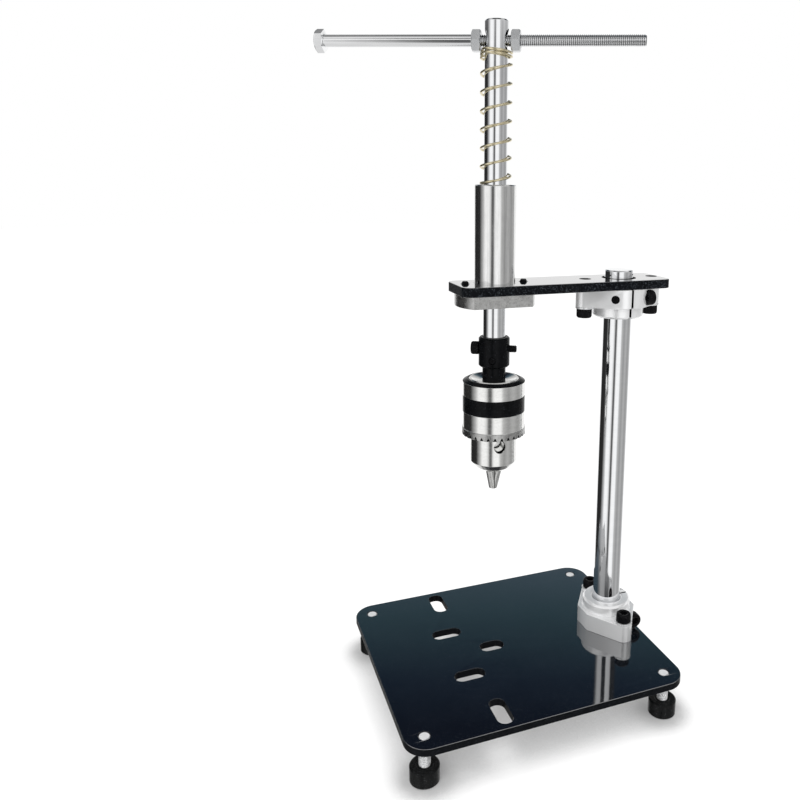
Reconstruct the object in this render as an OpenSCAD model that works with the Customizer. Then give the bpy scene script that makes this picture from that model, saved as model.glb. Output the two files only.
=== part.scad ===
// Manual tapping machine: a base plate on four levelling feet, a round column,
// a cross arm with a ball guide, and a sprung spindle with a keyed chuck.
// Millimetres, +Z up, +X along the front edge, +Y to the back.
// The origin lies on the floor plane, under the middle of the base plate.

/* [Base plate] */
// Width of the base plate along X
base_w = 155; // [150:1:180]
// Depth of the base plate along Y
base_d = 135; // [125:1:160]
// Thickness of the base plate
base_t = 4; // [3:0.5:8]
// Corner radius of the base plate
base_corner_r = 12; // [6:1:18]
// Distance of each foot from the two plate edges
foot_inset = 10; // [9:0.5:14]
// Width of every slot in the plate
slot_w = 8.5; // [6:0.5:10]
// Length of the two slots near the front and back edges
end_slot_l = 19.5; // [14:0.5:22]
// Distance of those slots from the spindle along X, to the left
end_slot_x = 15.5; // [10:0.5:22]
// Distance of those slots' middle from the front and back edges
end_slot_inset = 13.2; // [12.5:0.1:20]
// Length of the two slots left of the spindle
side_slot_l = 17; // [12:0.5:20]
// Distance of those slots from the spindle along X, to the left
side_slot_x = 20.5; // [15:0.5:26]
// Distance of those slots from the middle of the plate along Y
side_slot_y = 20.8; // [15:0.1:26]
// Length of the slot under the spindle
tap_slot_l = 14; // [10:0.5:16]

/* [Levelling feet] */
// Diameter of the rubber pad
pad_d = 15; // [12:0.5:20]
// Height of the rubber pad
pad_h = 9; // [7:0.5:14]
// Diameter of the threaded stud
stud_d = 6; // [5:0.5:8]
// Free length of the stud between pad and plate
stud_gap = 11; // [8.5:0.5:16]
// How deep the stud sits in the pad
stud_seat = 5; // [3:0.5:6]

/* [Column] */
// Diameter of the column
column_d = 16; // [14:0.5:18]
// Distance of the column axis from the right edge of the plate
column_inset = 14.5; // [14.5:0.5:20]
// Height of the column above the arm plate
column_stub = 4.5; // [3:0.5:10]
// Chamfer at the column's two ends
column_chamfer = 0.6; // [0.2:0.1:1]

/* [Column clamps] */
// Overall height of a clamp
clamp_h = 16.5; // [15.5:0.5:20]
// Thickness of the clamp's bolting flange
clamp_flange_t = 10.3; // [9.5:0.1:11]
// Length of the flange from tip to tip
clamp_l = 52; // [51:0.5:56]
// Radius of the flange's tips
clamp_tip_r = 4.6; // [4.5:0.1:6]
// Width of the flange across its middle
clamp_w = 32; // [31:0.5:34]
// Length of the short flats at the middle of the flange
clamp_flat = 12; // [8:0.5:14]
// Diameter of the collar
collar_d = 28.4; // [26:0.2:29]
// Chamfer on the collar's free rim
collar_chamfer = 1.2; // [0.4:0.1:2]
// Distance between the two bolts of a clamp
clamp_pitch = 42; // [41:0.5:44]
// Width of the slit in a clamp
slit_w = 1.3; // [1:0.1:2.4]
// Distance of the clamping screw from the column axis
pinch_offset = 11.5; // [11.4:0.1:12]
// Distance of the screw's seat from the middle of the clamp
pinch_seat = 10.5; // [9:0.5:11]
// Length of the clamping screw under its head
pinch_l = 16; // [14:1:16]
// How much deeper than the clamping screw its hole goes
pinch_spare = 2; // [1:0.5:2]
// Diameter of the short set screw that locks the clamping screw
set_d = 4.6; // [4:0.1:4.8]
// Length of the set screw
set_l = 2; // [1.5:0.1:2.4]
// Diameter of the washers under the clamp bolts
washer_d = 10; // [9:0.5:10]
// Thickness of those washers
washer_t = 1; // [0.6:0.1:1.2]

/* [Arm plate] */
// Height of the arm's underside above the base plate
arm_height = 205; // [190:1:230]
// Distance between the column axis and the spindle axis
reach = 74; // [68:0.5:80]
// How far the arm goes on past the spindle axis
arm_front_l = 21.7; // [21.5:0.1:28]
// How far the arm goes on past the column axis
arm_back_l = 25.5; // [23.5:0.5:28]
// Width of the arm plate
arm_w = 30; // [28:0.5:40]
// Thickness of the arm plate
arm_t = 5; // [4:0.5:8]
// Corner radius of the arm plate
arm_corner_r = 5; // [2:0.5:8]
// Diameter of the hole that the column passes through
arm_column_hole = 19; // [18.4:0.1:20]

/* [Ball guide] */
// Outer diameter of the guide's steel sleeve
guide_d = 21.5; // [20.5:0.5:22.5]
// Inner diameter of the steel sleeve
guide_bore = 17.4; // [17:0.1:17.6]
// Overall length of the guide with its flange
guide_l = 61.8; // [50:0.1:70]
// Length of the guide's flange along the arm
guide_flange_l = 42; // [41:0.5:44]
// Width of the guide's flange across its two flats
guide_flange_w = 27; // [25:0.5:30]
// Thickness of the guide's flange
guide_flange_t = 6.5; // [6:0.5:8]
// Distance between the two flange screws
guide_pitch = 32.5; // [31.5:0.1:33.5]
// Diameter of the bearing balls
ball_d = 2; // [1.6:0.1:2.2]
// Number of ball rows round the spindle
ball_rows = 4; // [3:1:6]
// Number of balls in each row
balls_in_row = 9; // [5:1:12]
// Distance of a row's first and last ball from the retainer's ends
ball_margin = 4; // [3:0.5:6]
// Thickness of the steel end rings
end_ring_t = 1.2; // [1:0.1:2]
// Height of the rubber seals
seal_t = 2; // [1.4:0.1:3]

/* [Screws] */
// Thread diameter of the clamp bolts and clamping screws
m5_d = 5; // [4.5:0.1:5.2]
// Head diameter of those screws
m5_head_d = 8.5; // [8:0.1:8.5]
// Head height of those screws
m5_head_h = 5; // [4:0.5:5]
// Width across flats of their hexagon sockets
m5_socket = 4; // [3:0.5:4.5]
// Thread diameter of the flange screws and the cross bolt
m4_d = 4; // [3:0.1:4.2]
// Head diameter of those screws
m4_head_d = 7; // [6:0.1:7.2]
// Head height of those screws
m4_head_h = 4; // [3.5:0.5:4.5]
// Width across flats of their hexagon sockets
m4_socket = 3; // [2:0.5:3.5]
// How far the flange screws stand out of the arm plate
screw_end = 1.5; // [0.5:0.5:4]
// Diameter of the countersinks round those screws' ends
screw_sink_d = 5.2; // [4.4:0.1:6]
// How far the upper clamp's bolts end below the arm plate's top
bolt_end = 1.6; // [0:0.2:2]

/* [Return spring] */
// Length of the spring as fitted
spring_l = 64.4; // [50:0.1:90]
// Outer diameter of the spring
spring_d = 16.4; // [15.8:0.1:17.2]
// Wire diameter
wire_d = 1.2; // [1:0.1:1.4]
// Closed turns at the lower end
turns_low = 0.25; // [0.25:0.05:1.5]
// Open turns
turns_open = 6.65; // [5:0.05:7.5]
// Closed turns at the upper end
turns_top = 1.7; // [1:0.05:2]
// Rise of one closed turn
closed_pitch = 1.7; // [1.7:0.05:2.2]
// How far the top turns rise in front, between the handle's nuts
top_rise = 2; // [0:0.1:2]
// Angle at which the wire starts at the lower end
spring_turn = 115; // [-180:1:180]

/* [Spindle and handle] */
// Diameter of the spindle rod
spindle_d = 12; // [11:0.5:12.4]
// Height of the spindle above the handle axis
spindle_head = 9.8; // [8:0.2:15]
// Chamfer at the spindle's two ends
spindle_chamfer = 0.8; // [0.2:0.1:1.5]
// Diameter of the countersinks round the handle hole
countersink_d = 11.2; // [8:0.2:11.4]
// Angle of the handle about the spindle, seen from above
handle_turn = -28; // [-90:1:90]
// Diameter of the handle bolt
handle_d = 6; // [5:0.5:6.5]
// Handle length on the side of its head
handle_left = 87; // [60:1:110]
// Handle length on the side of its threaded end
handle_right = 73; // [50:1:110]
// Width across flats of the handle's head and nuts
hex_af = 10; // [9:0.5:10.5]
// Height of the handle's head
hex_head_h = 4; // [3.5:0.5:6]
// Thickness of a nut
nut_t = 4.5; // [4:0.5:6]
// Distance of the left nut from the spindle axis
nut_left = 7.6; // [7:0.1:10]
// Distance of the right nut from the spindle axis
nut_right = 7.4; // [6.8:0.1:10]
// Angle of the nuts about the handle axis, where 30 puts a flat underneath
nut_turn = 30; // [0:1:30]

/* [Chuck adapter] */
// Free spindle length between guide and adapter
spindle_gap = 17; // [10:0.5:30]
// Diameter of the adapter's body
adapter_d = 16.5; // [15.5:0.5:20]
// Length of the adapter's body
adapter_l = 16; // [15:0.5:20]
// Depth of the spindle's seat in the adapter
adapter_bore_l = 14; // [12:0.5:14]
// Diameter of the neck between the body and the chuck
neck_d = 12.4; // [12.2:0.1:14]
// Length of the neck
neck_l = 7.8; // [6.5:0.1:12]
// Diameter of the taper at its big end
taper_d = 12.065; // [12:0.005:12.1]
// Length of the taper
taper_l = 17; // [14:0.5:17]
// Narrowing of the taper over its length
taper_fall = 0.85; // [0.6:0.05:1]
// Height of the cross bolt above the bottom of the spindle's seat
cross_z = 7.5; // [6:0.5:8.5]
// Height of the set screw above the bottom of the spindle's seat
grub_z = 2.3; // [2.2:0.1:2.6]
// Length of the set screw
grub_l = 2; // [1.5:0.1:2]

/* [Chuck] */
// Diameter of the chuck's geared sleeve
sleeve_d = 33.5; // [33:0.1:35]
// Diameter of the toothed rim
rim_d = 34.2; // [34:0.1:36]
// Length of the geared sleeve
sleeve_l = 31.5; // [31:0.1:33]
// How far the chuck's body stands above the sleeve
body_rise = 0.5; // [0.2:0.1:1]
// Height of the black shoulder at the top of the sleeve
shoulder_h = 1.2; // [0.8:0.1:1.6]
// Width of the black band round the sleeve
band_h = 8.7; // [6:0.1:9]
// Distance of that band from the top of the sleeve
band_z = 8.7; // [7:0.1:9.5]
// Depth of the groove that holds the band
band_depth = 0.25; // [0.1:0.05:0.4]
// Number of teeth on the rim
teeth = 30; // [24:1:32]
// Diameter at which the toothed face starts
face_d = 26.4; // [26:0.1:27]
// Rise of the toothed face from there to the rim
face_rise = 1.3; // [1:0.1:1.6]
// Height of the rim above the toothed face
rim_h = 3.6; // [3:0.1:4.2]
// Height of the gaps between the teeth, at the rim
tooth_gap_h = 2; // [1.4:0.1:2.4]
// Width of those gaps at the rim's lower edge
tooth_gap_w = 1.5; // [1:0.1:2]
// Diameter of the body above the nut
body_d = 26.5; // [26:0.1:27]
// Diameter of the nose below the sleeve
nose_d = 25; // [24:0.1:25.2]
// Length of the straight part of the nose below the sleeve
nose_l = 14.1; // [14:0.1:15]
// Length of the nose's cone
cone_l = 5.4; // [5:0.1:6]
// Diameter at the end of the cone
cone_d = 11.8; // [11.6:0.1:13]
// Diameter of the passage through the body
passage_d = 10.2; // [9.6:0.1:10.4]
// Diameter of the three key holes
key_d = 6.4; // [5.5:0.1:6.6]
// Height of the key holes above the end of the nose
key_z = 16.1; // [15.8:0.1:16.6]
// Depth of the key holes
key_depth = 5.5; // [4:0.1:5.5]
// Diameter of a jaw
jaw_d = 5; // [4.6:0.1:5]
// Length of a jaw
jaw_l = 38; // [37:0.1:38.2]
// Angle between a jaw and the chuck axis
jaw_angle = 13.5; // [13:0.1:13.8]
// How far the closed jaws stand out of the nose
jaw_out = 11; // [10.5:0.1:11.2]
// Distance of a jaw's axis from the chuck axis at its tip, taken inwards
jaw_cross = 0.35; // [0.2:0.05:0.5]
// Smallest shank that the chuck holds
grip_min = 1.5; // [1:0.1:2]
// Largest shank that the chuck holds
grip_max = 10; // [8:0.5:10]
// Angle of the first jaw about the spindle
jaw_turn = -35; // [-180:1:180]
// Height of the split nut's seat above the sleeve's lower end
nut_seat = 3.7; // [3.5:0.1:4]
// Height of the split nut
nut_h = 4; // [3.5:0.1:4.5]
// Outer diameter of the split nut
nut_d = 29.4; // [29:0.1:29.6]

/* [Fits] */
// Running clearance on the radius of shafts and bolts in their holes
run_fit = 0.04; // [0.02:0.01:0.08]
// Clearance between the jaws and their bores
jaw_fit = 0.08; // [0.05:0.01:0.1]
// Clearance between the chuck's sleeve and its body
sleeve_fit = 0.1; // [0.05:0.01:0.15]
// Clearance round the clamping screws' heads
head_fit = 0.1; // [0.05:0.01:0.15]
// Clearance where one piece hangs or rests on another that turns
rest_gap = 0.3; // [0.2:0.05:0.4]
// Gap between the spring's upper end and the handle's nuts
nut_gap = 0.1; // [0.05:0.01:0.2]

/* [Hidden] */
$fn = 64;
over = 1;

// Heights, from the floor up
base_z = pad_h + stud_gap;
base_top = base_z + base_t;
arm_z = base_top + arm_height;
arm_top = arm_z + arm_t;
column_top = arm_top + column_stub;
guide_z = arm_z - guide_flange_t;
guide_top = guide_z + guide_l;
spring_z = guide_top;
hex_r = hex_af / 2 / cos(30);
handle_z = spring_z + spring_l + hex_r * cos(nut_turn) + nut_gap;
spindle_top = handle_z + spindle_head;
adapter_top = guide_z - spindle_gap;
seat_z = adapter_top - adapter_bore_l;
adapter_base = adapter_top - adapter_l;
neck_z = adapter_base - neck_l;

// Places in plan
foot_x = base_w / 2 - foot_inset;
foot_y = base_d / 2 - foot_inset;
column_x = base_w / 2 - column_inset;
spindle_x = column_x - reach;
end_slot_y = base_d / 2 - end_slot_inset;

// Heights of the chuck, from its top down
dish = 1.6;
body_top = neck_z + dish;
sleeve_top = body_top - body_rise;
sleeve_z = sleeve_top - sleeve_l;
nose_z = sleeve_z - nose_l - cone_l;
cone_top = nose_z + cone_l;
tip_z = nose_z - jaw_out;
nut_z = sleeve_z + nut_seat;
nut_top = nut_z + nut_h;
well_top = sleeve_top - 5;
taper_z = neck_z - taper_l;
jaw_travel = (grip_max - grip_min) / 2 / sin(jaw_angle);
jaw_bore_l = jaw_l + jaw_travel + 1;

// Distance of the jaw axes from the chuck axis at a height
function jaw_r(z) = (z - tip_z) * tan(jaw_angle) - jaw_cross;

// Point where the line from p touches a circle, on the side given by turn
function touch(p, c, r, turn) =
    let (d = norm(p - c), a = atan2(p[1] - c[1], p[0] - c[0]), b = acos(r / d))
    c + r * [cos(a + turn * b), sin(a + turn * b)];

// A plate with round corners, its lower face at z = 0
module round_plate(w, d, t, r) {
    linear_extrude(t) {
        square([w - 2 * r, d], center = true);
        square([w, d - 2 * r], center = true);
        for (x = [-1, 1], y = [-1, 1])
            translate([x * (w / 2 - r), y * (d / 2 - r)]) circle(r);
    }
}

// A slot that runs along X, cut through a plate whose lower face is at z = 0
module slot(l, w, t) {
    translate([0, 0, -over]) linear_extrude(t + 2 * over) {
        square([l - w, w], center = true);
        for (x = [-1, 1]) translate([x * (l - w) / 2, 0]) circle(d = w);
    }
}

// A rod along Z with a chamfer at both ends
module rod(d, l, c) {
    cylinder(d1 = d - 2 * c, d2 = d, h = c);
    translate([0, 0, c]) cylinder(d = d, h = l - 2 * c);
    translate([0, 0, l - c]) cylinder(d1 = d, d2 = d - 2 * c, h = c);
}

// A socket-head screw along -Z, with the seat of its head at z = 0
module cap_screw(d, head_d, head_h, socket, l) {
    chamfer = 0.5;
    difference() {
        union() {
            cylinder(d = head_d, h = head_h - chamfer);
            translate([0, 0, head_h - chamfer]) cylinder(d1 = head_d, d2 = head_d - 2 * chamfer, h = chamfer);
            translate([0, 0, -l + chamfer]) cylinder(d = d, h = l - chamfer);
            translate([0, 0, -l]) cylinder(d1 = d - 2 * chamfer, d2 = d, h = chamfer);
        }
        translate([0, 0, head_h / 2]) cylinder(d = socket / cos(30), h = head_h, $fn = 6);
    }
}

// A hexagon across its corners, along Z, with its rim bevelled at the ends named
module hex_block(r, h, low, high) {
    bevel = 0.5;
    intersection() {
        cylinder(r = r, h = h, $fn = 6);
        union() {
            cylinder(r1 = low ? r - 2 * bevel : r, r2 = r, h = bevel);
            translate([0, 0, bevel]) cylinder(r = r, h = h - 2 * bevel);
            translate([0, 0, h - bevel]) cylinder(r1 = r, r2 = high ? r - 2 * bevel : r, h = bevel);
        }
    }
}

// Moves its children to the spindle, turned about it
module at_spindle(turn = 0) {
    translate([spindle_x, 0, 0]) rotate([0, 0, turn]) children();
}

// Moves its children to the column axis
module at_column() {
    translate([column_x, 0, 0]) children();
}

// A slanted side of a clamp's flange, from its corner to its round tip, and the angle of
// the line square to it
clamp_tip = [clamp_l / 2 - clamp_tip_r, 0];
clamp_corner = [clamp_flat / 2, clamp_w / 2];
tip_inset = 0.08;
slant_end = touch(clamp_corner, clamp_tip, clamp_tip_r - tip_inset, -1);
slant = slant_end - clamp_corner;
slant_turn = atan2(slant[0], -slant[1]);

// Plan of a clamp's flange: short flats, slanted sides and round tips
module clamp_plan() {
    c = clamp_corner;
    t = slant_end;
    polygon([c, t, [t[0], -t[1]], [c[0], -c[1]], [-c[0], -c[1]], [-t[0], -t[1]], [-t[0], t[1]], [-c[0], c[1]]]);
    for (x = [-1, 1]) translate([x * clamp_tip[0], 0]) circle(clamp_tip_r);
}

// A split clamp standing on its flange, long side along X, slit towards -Y
module split_clamp() {
    pinch_z = clamp_flange_t / 2;
    difference() {
        union() {
            linear_extrude(clamp_flange_t) clamp_plan();
            cylinder(d = collar_d, h = clamp_h - collar_chamfer);
            translate([0, 0, clamp_h - collar_chamfer])
                cylinder(d1 = collar_d, d2 = collar_d - 2 * collar_chamfer, h = collar_chamfer);
        }
        translate([0, 0, -over]) cylinder(d = column_d + 2 * run_fit, h = clamp_h + 2 * over);
        translate([-slit_w / 2, -clamp_w, -over]) cube([slit_w, clamp_w, clamp_h + 2 * over]);
        for (x = [-1, 1]) translate([x * clamp_pitch / 2, 0, -over])
            cylinder(d = m5_d + 2 * run_fit, h = clamp_flange_t + 2 * over);
        // hole of the clamping screw and the seat of its head
        translate([0, -pinch_offset, pinch_z]) rotate([0, 90, 0]) {
            translate([0, 0, pinch_seat - pinch_l - pinch_spare]) cylinder(d = m5_d + 2 * run_fit, h = clamp_l);
            translate([0, 0, pinch_seat]) cylinder(d = m5_head_d + 2 * head_fit, h = clamp_l / 2);
        }
        on_set_axis() cylinder(d = set_d, h = clamp_l);
    }
}

// Places its children on the axis of the set screw, square to a slanted side of the
// flange, with z = 0 at the bottom of its hole, beside the clamping screw's end
module on_set_axis() {
    pinch_end = pinch_l - pinch_seat + head_fit;
    bottom_r = (pinch_end + set_d / 2 * sin(slant_turn)) / cos(slant_turn);
    translate([0, 0, clamp_flange_t / 2]) rotate([0, 0, slant_turn + 180]) rotate([0, 90, 0])
        translate([0, 0, bottom_r]) children();
}

// The set screw that locks the clamping screw
module set_screw() {
    socket = 2.4;
    on_set_axis() difference() {
        cylinder(d = set_d - 2 * run_fit, h = set_l);
        translate([0, 0, set_l / 2]) cylinder(d = socket / cos(30), h = set_l, $fn = 6);
    }
}

// The clamping screw, in the place it has in split_clamp
module pinch_screw() {
    translate([pinch_seat, -pinch_offset, clamp_flange_t / 2]) rotate([0, 90, 0])
        cap_screw(m5_d, m5_head_d, m5_head_h, m5_socket, pinch_l);
}

// The two bolts that hold a clamp's flange, with their washers, and the clamp's set screw,
// in the place they have in split_clamp
module clamp_bolts(grip) {
    for (x = [-1, 1]) translate([x * clamp_pitch / 2, 0, clamp_flange_t]) {
        translate([0, 0, washer_t])
            cap_screw(m5_d, m5_head_d, m5_head_h, m5_socket, washer_t + clamp_flange_t + grip);
        cylinder(d = washer_d, h = washer_t);
    }
    set_screw();
}

// Turns the lower clamp so that its long side runs along Y and its slit faces right
module lower_clamp_place() {
    at_column() translate([0, 0, base_top]) rotate([0, 0, 90]) mirror([1, 0, 0]) children();
}

// Hangs the upper clamp from the arm, long side along the arm, slit to the front
module upper_clamp_place() {
    at_column() translate([0, 0, arm_z]) mirror([0, 0, 1]) children();
}

module base_plate() {
    color("#15181c") difference() {
        translate([0, 0, base_z]) round_plate(base_w, base_d, base_t, base_corner_r);
        for (x = [-1, 1], y = [-1, 1]) translate([x * foot_x, y * foot_y, base_z - over])
            cylinder(d = stud_d + 2 * run_fit, h = base_t + 2 * over);
        for (y = [-1, 1]) at_column() translate([0, y * clamp_pitch / 2, base_z - over])
            cylinder(d = m5_d + 2 * run_fit, h = base_t + 2 * over);
        for (y = [-1, 1]) {
            translate([spindle_x - end_slot_x, y * end_slot_y, base_z])
                rotate([0, 0, 90]) slot(end_slot_l, slot_w, base_t);
            translate([spindle_x - side_slot_x, y * side_slot_y, base_z]) slot(side_slot_l, slot_w, base_t);
        }
        translate([spindle_x, 0, base_z]) slot(tap_slot_l, slot_w, base_t);
    }
}

module base_clamp() {
    color("#d9dadc") lower_clamp_place() split_clamp();
}

module base_clamp_bolts() {
    color("#17181a") lower_clamp_place() clamp_bolts(base_t);
}

module base_clamp_screw() {
    color("#17181a") lower_clamp_place() pinch_screw();
}

module foot_pad(x, y) {
    chamfer = 0.6;
    color("#1b1d1d") translate([x * foot_x, y * foot_y, 0]) difference() {
        rod(pad_d, pad_h, chamfer);
        translate([0, 0, pad_h - stud_seat]) cylinder(d = stud_d, h = stud_seat + over);
    }
}

module foot_stud(x, y) {
    chamfer = 0.5;
    color("#c9ccd0") translate([x * foot_x, y * foot_y, pad_h - stud_seat])
        rod(stud_d, stud_seat + stud_gap + base_t, chamfer);
}

module column() {
    color("#d4d6d9") at_column() translate([0, 0, base_top])
        rod(column_d, column_top - base_top, column_chamfer);
}

module arm_plate() {
    l = arm_front_l + reach + arm_back_l;
    middle = spindle_x - arm_front_l + l / 2;
    color("#15181c") difference() {
        translate([middle, 0, arm_z]) round_plate(l, arm_w, arm_t, arm_corner_r);
        at_column() translate([0, 0, arm_z - over]) cylinder(d = arm_column_hole, h = arm_t + 2 * over);
        at_spindle() translate([0, 0, arm_z - over]) cylinder(d = guide_d + 2 * run_fit, h = arm_t + 2 * over);
        for (x = [-1, 1]) {
            at_column() translate([x * clamp_pitch / 2, 0, arm_z - over])
                cylinder(d = m5_d + 2 * run_fit, h = arm_t + 2 * over);
            at_spindle() translate([x * guide_pitch / 2, 0, arm_z]) {
                translate([0, 0, -over]) cylinder(d = m4_d + 2 * run_fit, h = arm_t + 2 * over);
                translate([0, 0, arm_t - (screw_sink_d - m4_d) / 2])
                    cylinder(d1 = m4_d, d2 = screw_sink_d + 2 * over, h = (screw_sink_d - m4_d) / 2 + over);
            }
        }
    }
}

module arm_clamp() {
    color("#d9dadc") upper_clamp_place() split_clamp();
}

module arm_clamp_bolts() {
    color("#17181a") upper_clamp_place() clamp_bolts(arm_t - bolt_end);
}

module arm_clamp_screw() {
    color("#17181a") upper_clamp_place() pinch_screw();
}

module guide_sleeve() {
    chamfer = 0.5;
    color("#a9aba8") at_spindle() difference() {
        union() {
            translate([0, 0, guide_z]) linear_extrude(guide_flange_t) intersection() {
                circle(d = guide_flange_l);
                square([guide_flange_l, guide_flange_w], center = true);
            }
            translate([0, 0, guide_z]) rod(guide_d, guide_l, chamfer);
        }
        translate([0, 0, guide_z - over]) cylinder(d = guide_bore, h = guide_l + 2 * over);
        for (x = [-1, 1]) translate([x * guide_pitch / 2, 0, guide_z]) {
            translate([0, 0, -over]) cylinder(d = m4_d + 2 * run_fit, h = guide_flange_t + 2 * over);
            translate([0, 0, -over]) cylinder(d = m4_head_d + rest_gap, h = over + m4_head_h);
        }
    }
}

// Heights of the guide's inner pieces
retainer_z = guide_z + end_ring_t + seal_t;
retainer_l = guide_l - 2 * (end_ring_t + seal_t);
retainer_id = spindle_d + ball_d * 0.4;
ball_r = spindle_d / 2 + run_fit + ball_d / 2;
ball_step = (retainer_l - 2 * ball_margin) / (balls_in_row - 1);

module guide_retainer() {
    window_w = ball_d + 0.1;
    window_l = retainer_l - 2 * ball_margin + ball_d + 0.4;
    color("#c8b48a") at_spindle() difference() {
        translate([0, 0, retainer_z]) cylinder(d = guide_bore, h = retainer_l);
        translate([0, 0, retainer_z - over]) cylinder(d = retainer_id, h = retainer_l + 2 * over);
        for (i = [0:ball_rows - 1]) rotate([0, 0, i * 360 / ball_rows])
            translate([spindle_d / 4, -window_w / 2, retainer_z + (retainer_l - window_l) / 2])
                cube([ball_r + ball_d / 2 + 0.05 - spindle_d / 4, window_w, window_l]);
    }
}

module guide_balls() {
    color("#e6e8ea") at_spindle()
        for (i = [0:ball_rows - 1], k = [0:balls_in_row - 1])
            rotate([0, 0, i * 360 / ball_rows]) translate([ball_r, 0, retainer_z + ball_margin + k * ball_step])
                sphere(d = ball_d, $fn = 24);
}

module guide_seals() {
    color("#202224") at_spindle() for (z = [retainer_z - seal_t, retainer_z + retainer_l]) translate([0, 0, z])
        difference() {
            cylinder(d = guide_bore, h = seal_t);
            translate([0, 0, -over]) cylinder(d = spindle_d + 2 * run_fit, h = seal_t + 2 * over);
        }
}

module guide_end_rings() {
    color("#8f9291") at_spindle() for (z = [guide_z, guide_top - end_ring_t]) translate([0, 0, z])
        difference() {
            cylinder(d = guide_bore, h = end_ring_t);
            translate([0, 0, -over]) cylinder(d = spindle_d + 2 * rest_gap, h = end_ring_t + 2 * over);
        }
}

module guide_screws() {
    grip = guide_flange_t - m4_head_h + arm_t + screw_end;
    color("#17181a") at_spindle() for (x = [-1, 1])
        translate([x * guide_pitch / 2, 0, guide_z + m4_head_h]) mirror([0, 0, 1])
            cap_screw(m4_d, m4_head_d, m4_head_h, m4_socket, grip);
}

// Path of the spring: closed turns, open turns, closed turns that rise in front between
// the handle's nuts, with a short straight piece at each end
coil_r = (spring_d - wire_d) / 2;
rings_in_turn = 12;
wire_sides = 6;
rise_low = turns_low * closed_pitch;
rise_top = turns_top * closed_pitch;
rise_open = spring_l - wire_d - rise_low - rise_top;
turns_all = turns_low + turns_open + turns_top;
function coil_z(n) = n < turns_low ? n * closed_pitch
    : n < turns_low + turns_open ? rise_low + (n - turns_low) * rise_open / turns_open
    : rise_low + rise_open + (n - turns_low - turns_open) * closed_pitch;
// Rise of the last turns at an angle: all of it square to the handle, none from 60 degrees on
risen_turns = 1.6;
function turn_rise(n) =
    let (a = spring_turn + 360 * n - (handle_turn - 90), away = abs(a - 360 * round(a / 360)))
    n < turns_all - risen_turns || away > 60 ? 0 : top_rise * pow(cos(1.5 * away), 2);
function coil_point(n) =
    [coil_r * cos(spring_turn + 360 * n), coil_r * sin(spring_turn + 360 * n), coil_z(n) + turn_rise(n)];
coil_steps = round(turns_all * rings_in_turn);
coil_curve = [for (i = [0:coil_steps]) coil_point(i * turns_all / coil_steps)];
function unit(v) = v / norm(v);
lead_in = coil_curve[0] - wire_d * [-sin(spring_turn), cos(spring_turn), 0];
lead_angle = spring_turn + 360 * turns_all;
lead_out = coil_curve[coil_steps] + wire_d * [-sin(lead_angle), cos(lead_angle), 0];
coil_path = concat([lead_in], coil_curve, [lead_out]);
coil_last = len(coil_path) - 1;
function path_dir(i) = unit(coil_path[min(i + 1, coil_last)] - coil_path[max(i - 1, 0)]);
function ring(i) =
    let (d = path_dir(i), side = unit(cross(d, [0, 0, 1])), rise = cross(side, d))
    [for (k = [0:wire_sides - 1])
        coil_path[i] + wire_d / 2 * (cos(60 * k) * side + sin(60 * k) * rise)];
function quad(a, b, c, d) = [[a, b, c], [a, c, d]];

module return_spring() {
    points = [for (i = [0:coil_last]) each ring(i)];
    sides = [for (i = [0:coil_last - 1], k = [0:wire_sides - 1]) each
        let (a = i * wire_sides + k, b = i * wire_sides + (k + 1) % wire_sides)
        quad(a, a + wire_sides, b + wire_sides, b)];
    top = coil_last * wire_sides;
    caps = [for (k = [1:wire_sides - 2]) each [[0, k, k + 1], [top, top + k + 1, top + k]]];
    color("#c7ad6b") at_spindle() translate([0, 0, spring_z + wire_d / 2])
        polyhedron(points, concat(sides, caps));
}

// Least gap between turns of the wire, measured on the path's points
self_gap = min([for (i = [0:coil_last], k = [i + rings_in_turn / 2:coil_last])
    norm(coil_path[k] - coil_path[i])]) - wire_d;
echo(spring_self_gap = self_gap);

module spindle() {
    l = spindle_top - seat_z;
    sink = (countersink_d - handle_d) / 2;
    color("#d4d6d9") at_spindle() difference() {
        translate([0, 0, seat_z]) rod(spindle_d, l, spindle_chamfer);
        translate([0, 0, handle_z]) rotate([0, 0, handle_turn]) rotate([0, 90, 0]) {
            cylinder(d = handle_d + 2 * run_fit, h = 2 * spindle_d, center = true);
            for (s = [0, 1]) mirror([0, 0, s]) translate([0, 0, spindle_d / 2 - sink])
                cylinder(d1 = handle_d, d2 = countersink_d + 2 * over, h = sink + over);
        }
        translate([0, 0, seat_z + cross_z]) rotate([0, 0, handle_turn]) rotate([0, 90, 0])
            cylinder(d = m4_d + 2 * run_fit, h = 2 * spindle_d, center = true);
    }
}

// Turns its children so that their Z axis lies along the handle
module along_handle(z) {
    at_spindle(handle_turn) translate([0, 0, z]) rotate([0, 90, 0]) children();
}

module handle_bolt() {
    thread_relief = 0.1;
    chamfer = 0.6;
    color("#cfd1d4") along_handle(handle_z) {
        translate([0, 0, -handle_left - hex_head_h]) hex_block(hex_r, hex_head_h, true, false);
        translate([0, 0, -handle_left]) cylinder(d = handle_d, h = handle_left - nut_left - nut_t - over);
        translate([0, 0, -nut_left - nut_t - over])
            cylinder(d = handle_d - thread_relief, h = handle_right + nut_left + nut_t + over - chamfer);
        translate([0, 0, handle_right - chamfer])
            cylinder(d1 = handle_d - thread_relief, d2 = handle_d - thread_relief - 2 * chamfer, h = chamfer);
    }
}

module handle_nuts() {
    thread_relief = 0.06;
    color("#c4c6c9") along_handle(handle_z) for (z = [-nut_left - nut_t, nut_right]) translate([0, 0, z])
        rotate([0, 0, nut_turn]) difference() {
            hex_block(hex_r, nut_t, true, true);
            translate([0, 0, -over]) cylinder(d = handle_d - thread_relief, h = nut_t + 2 * over);
        }
}

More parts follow.
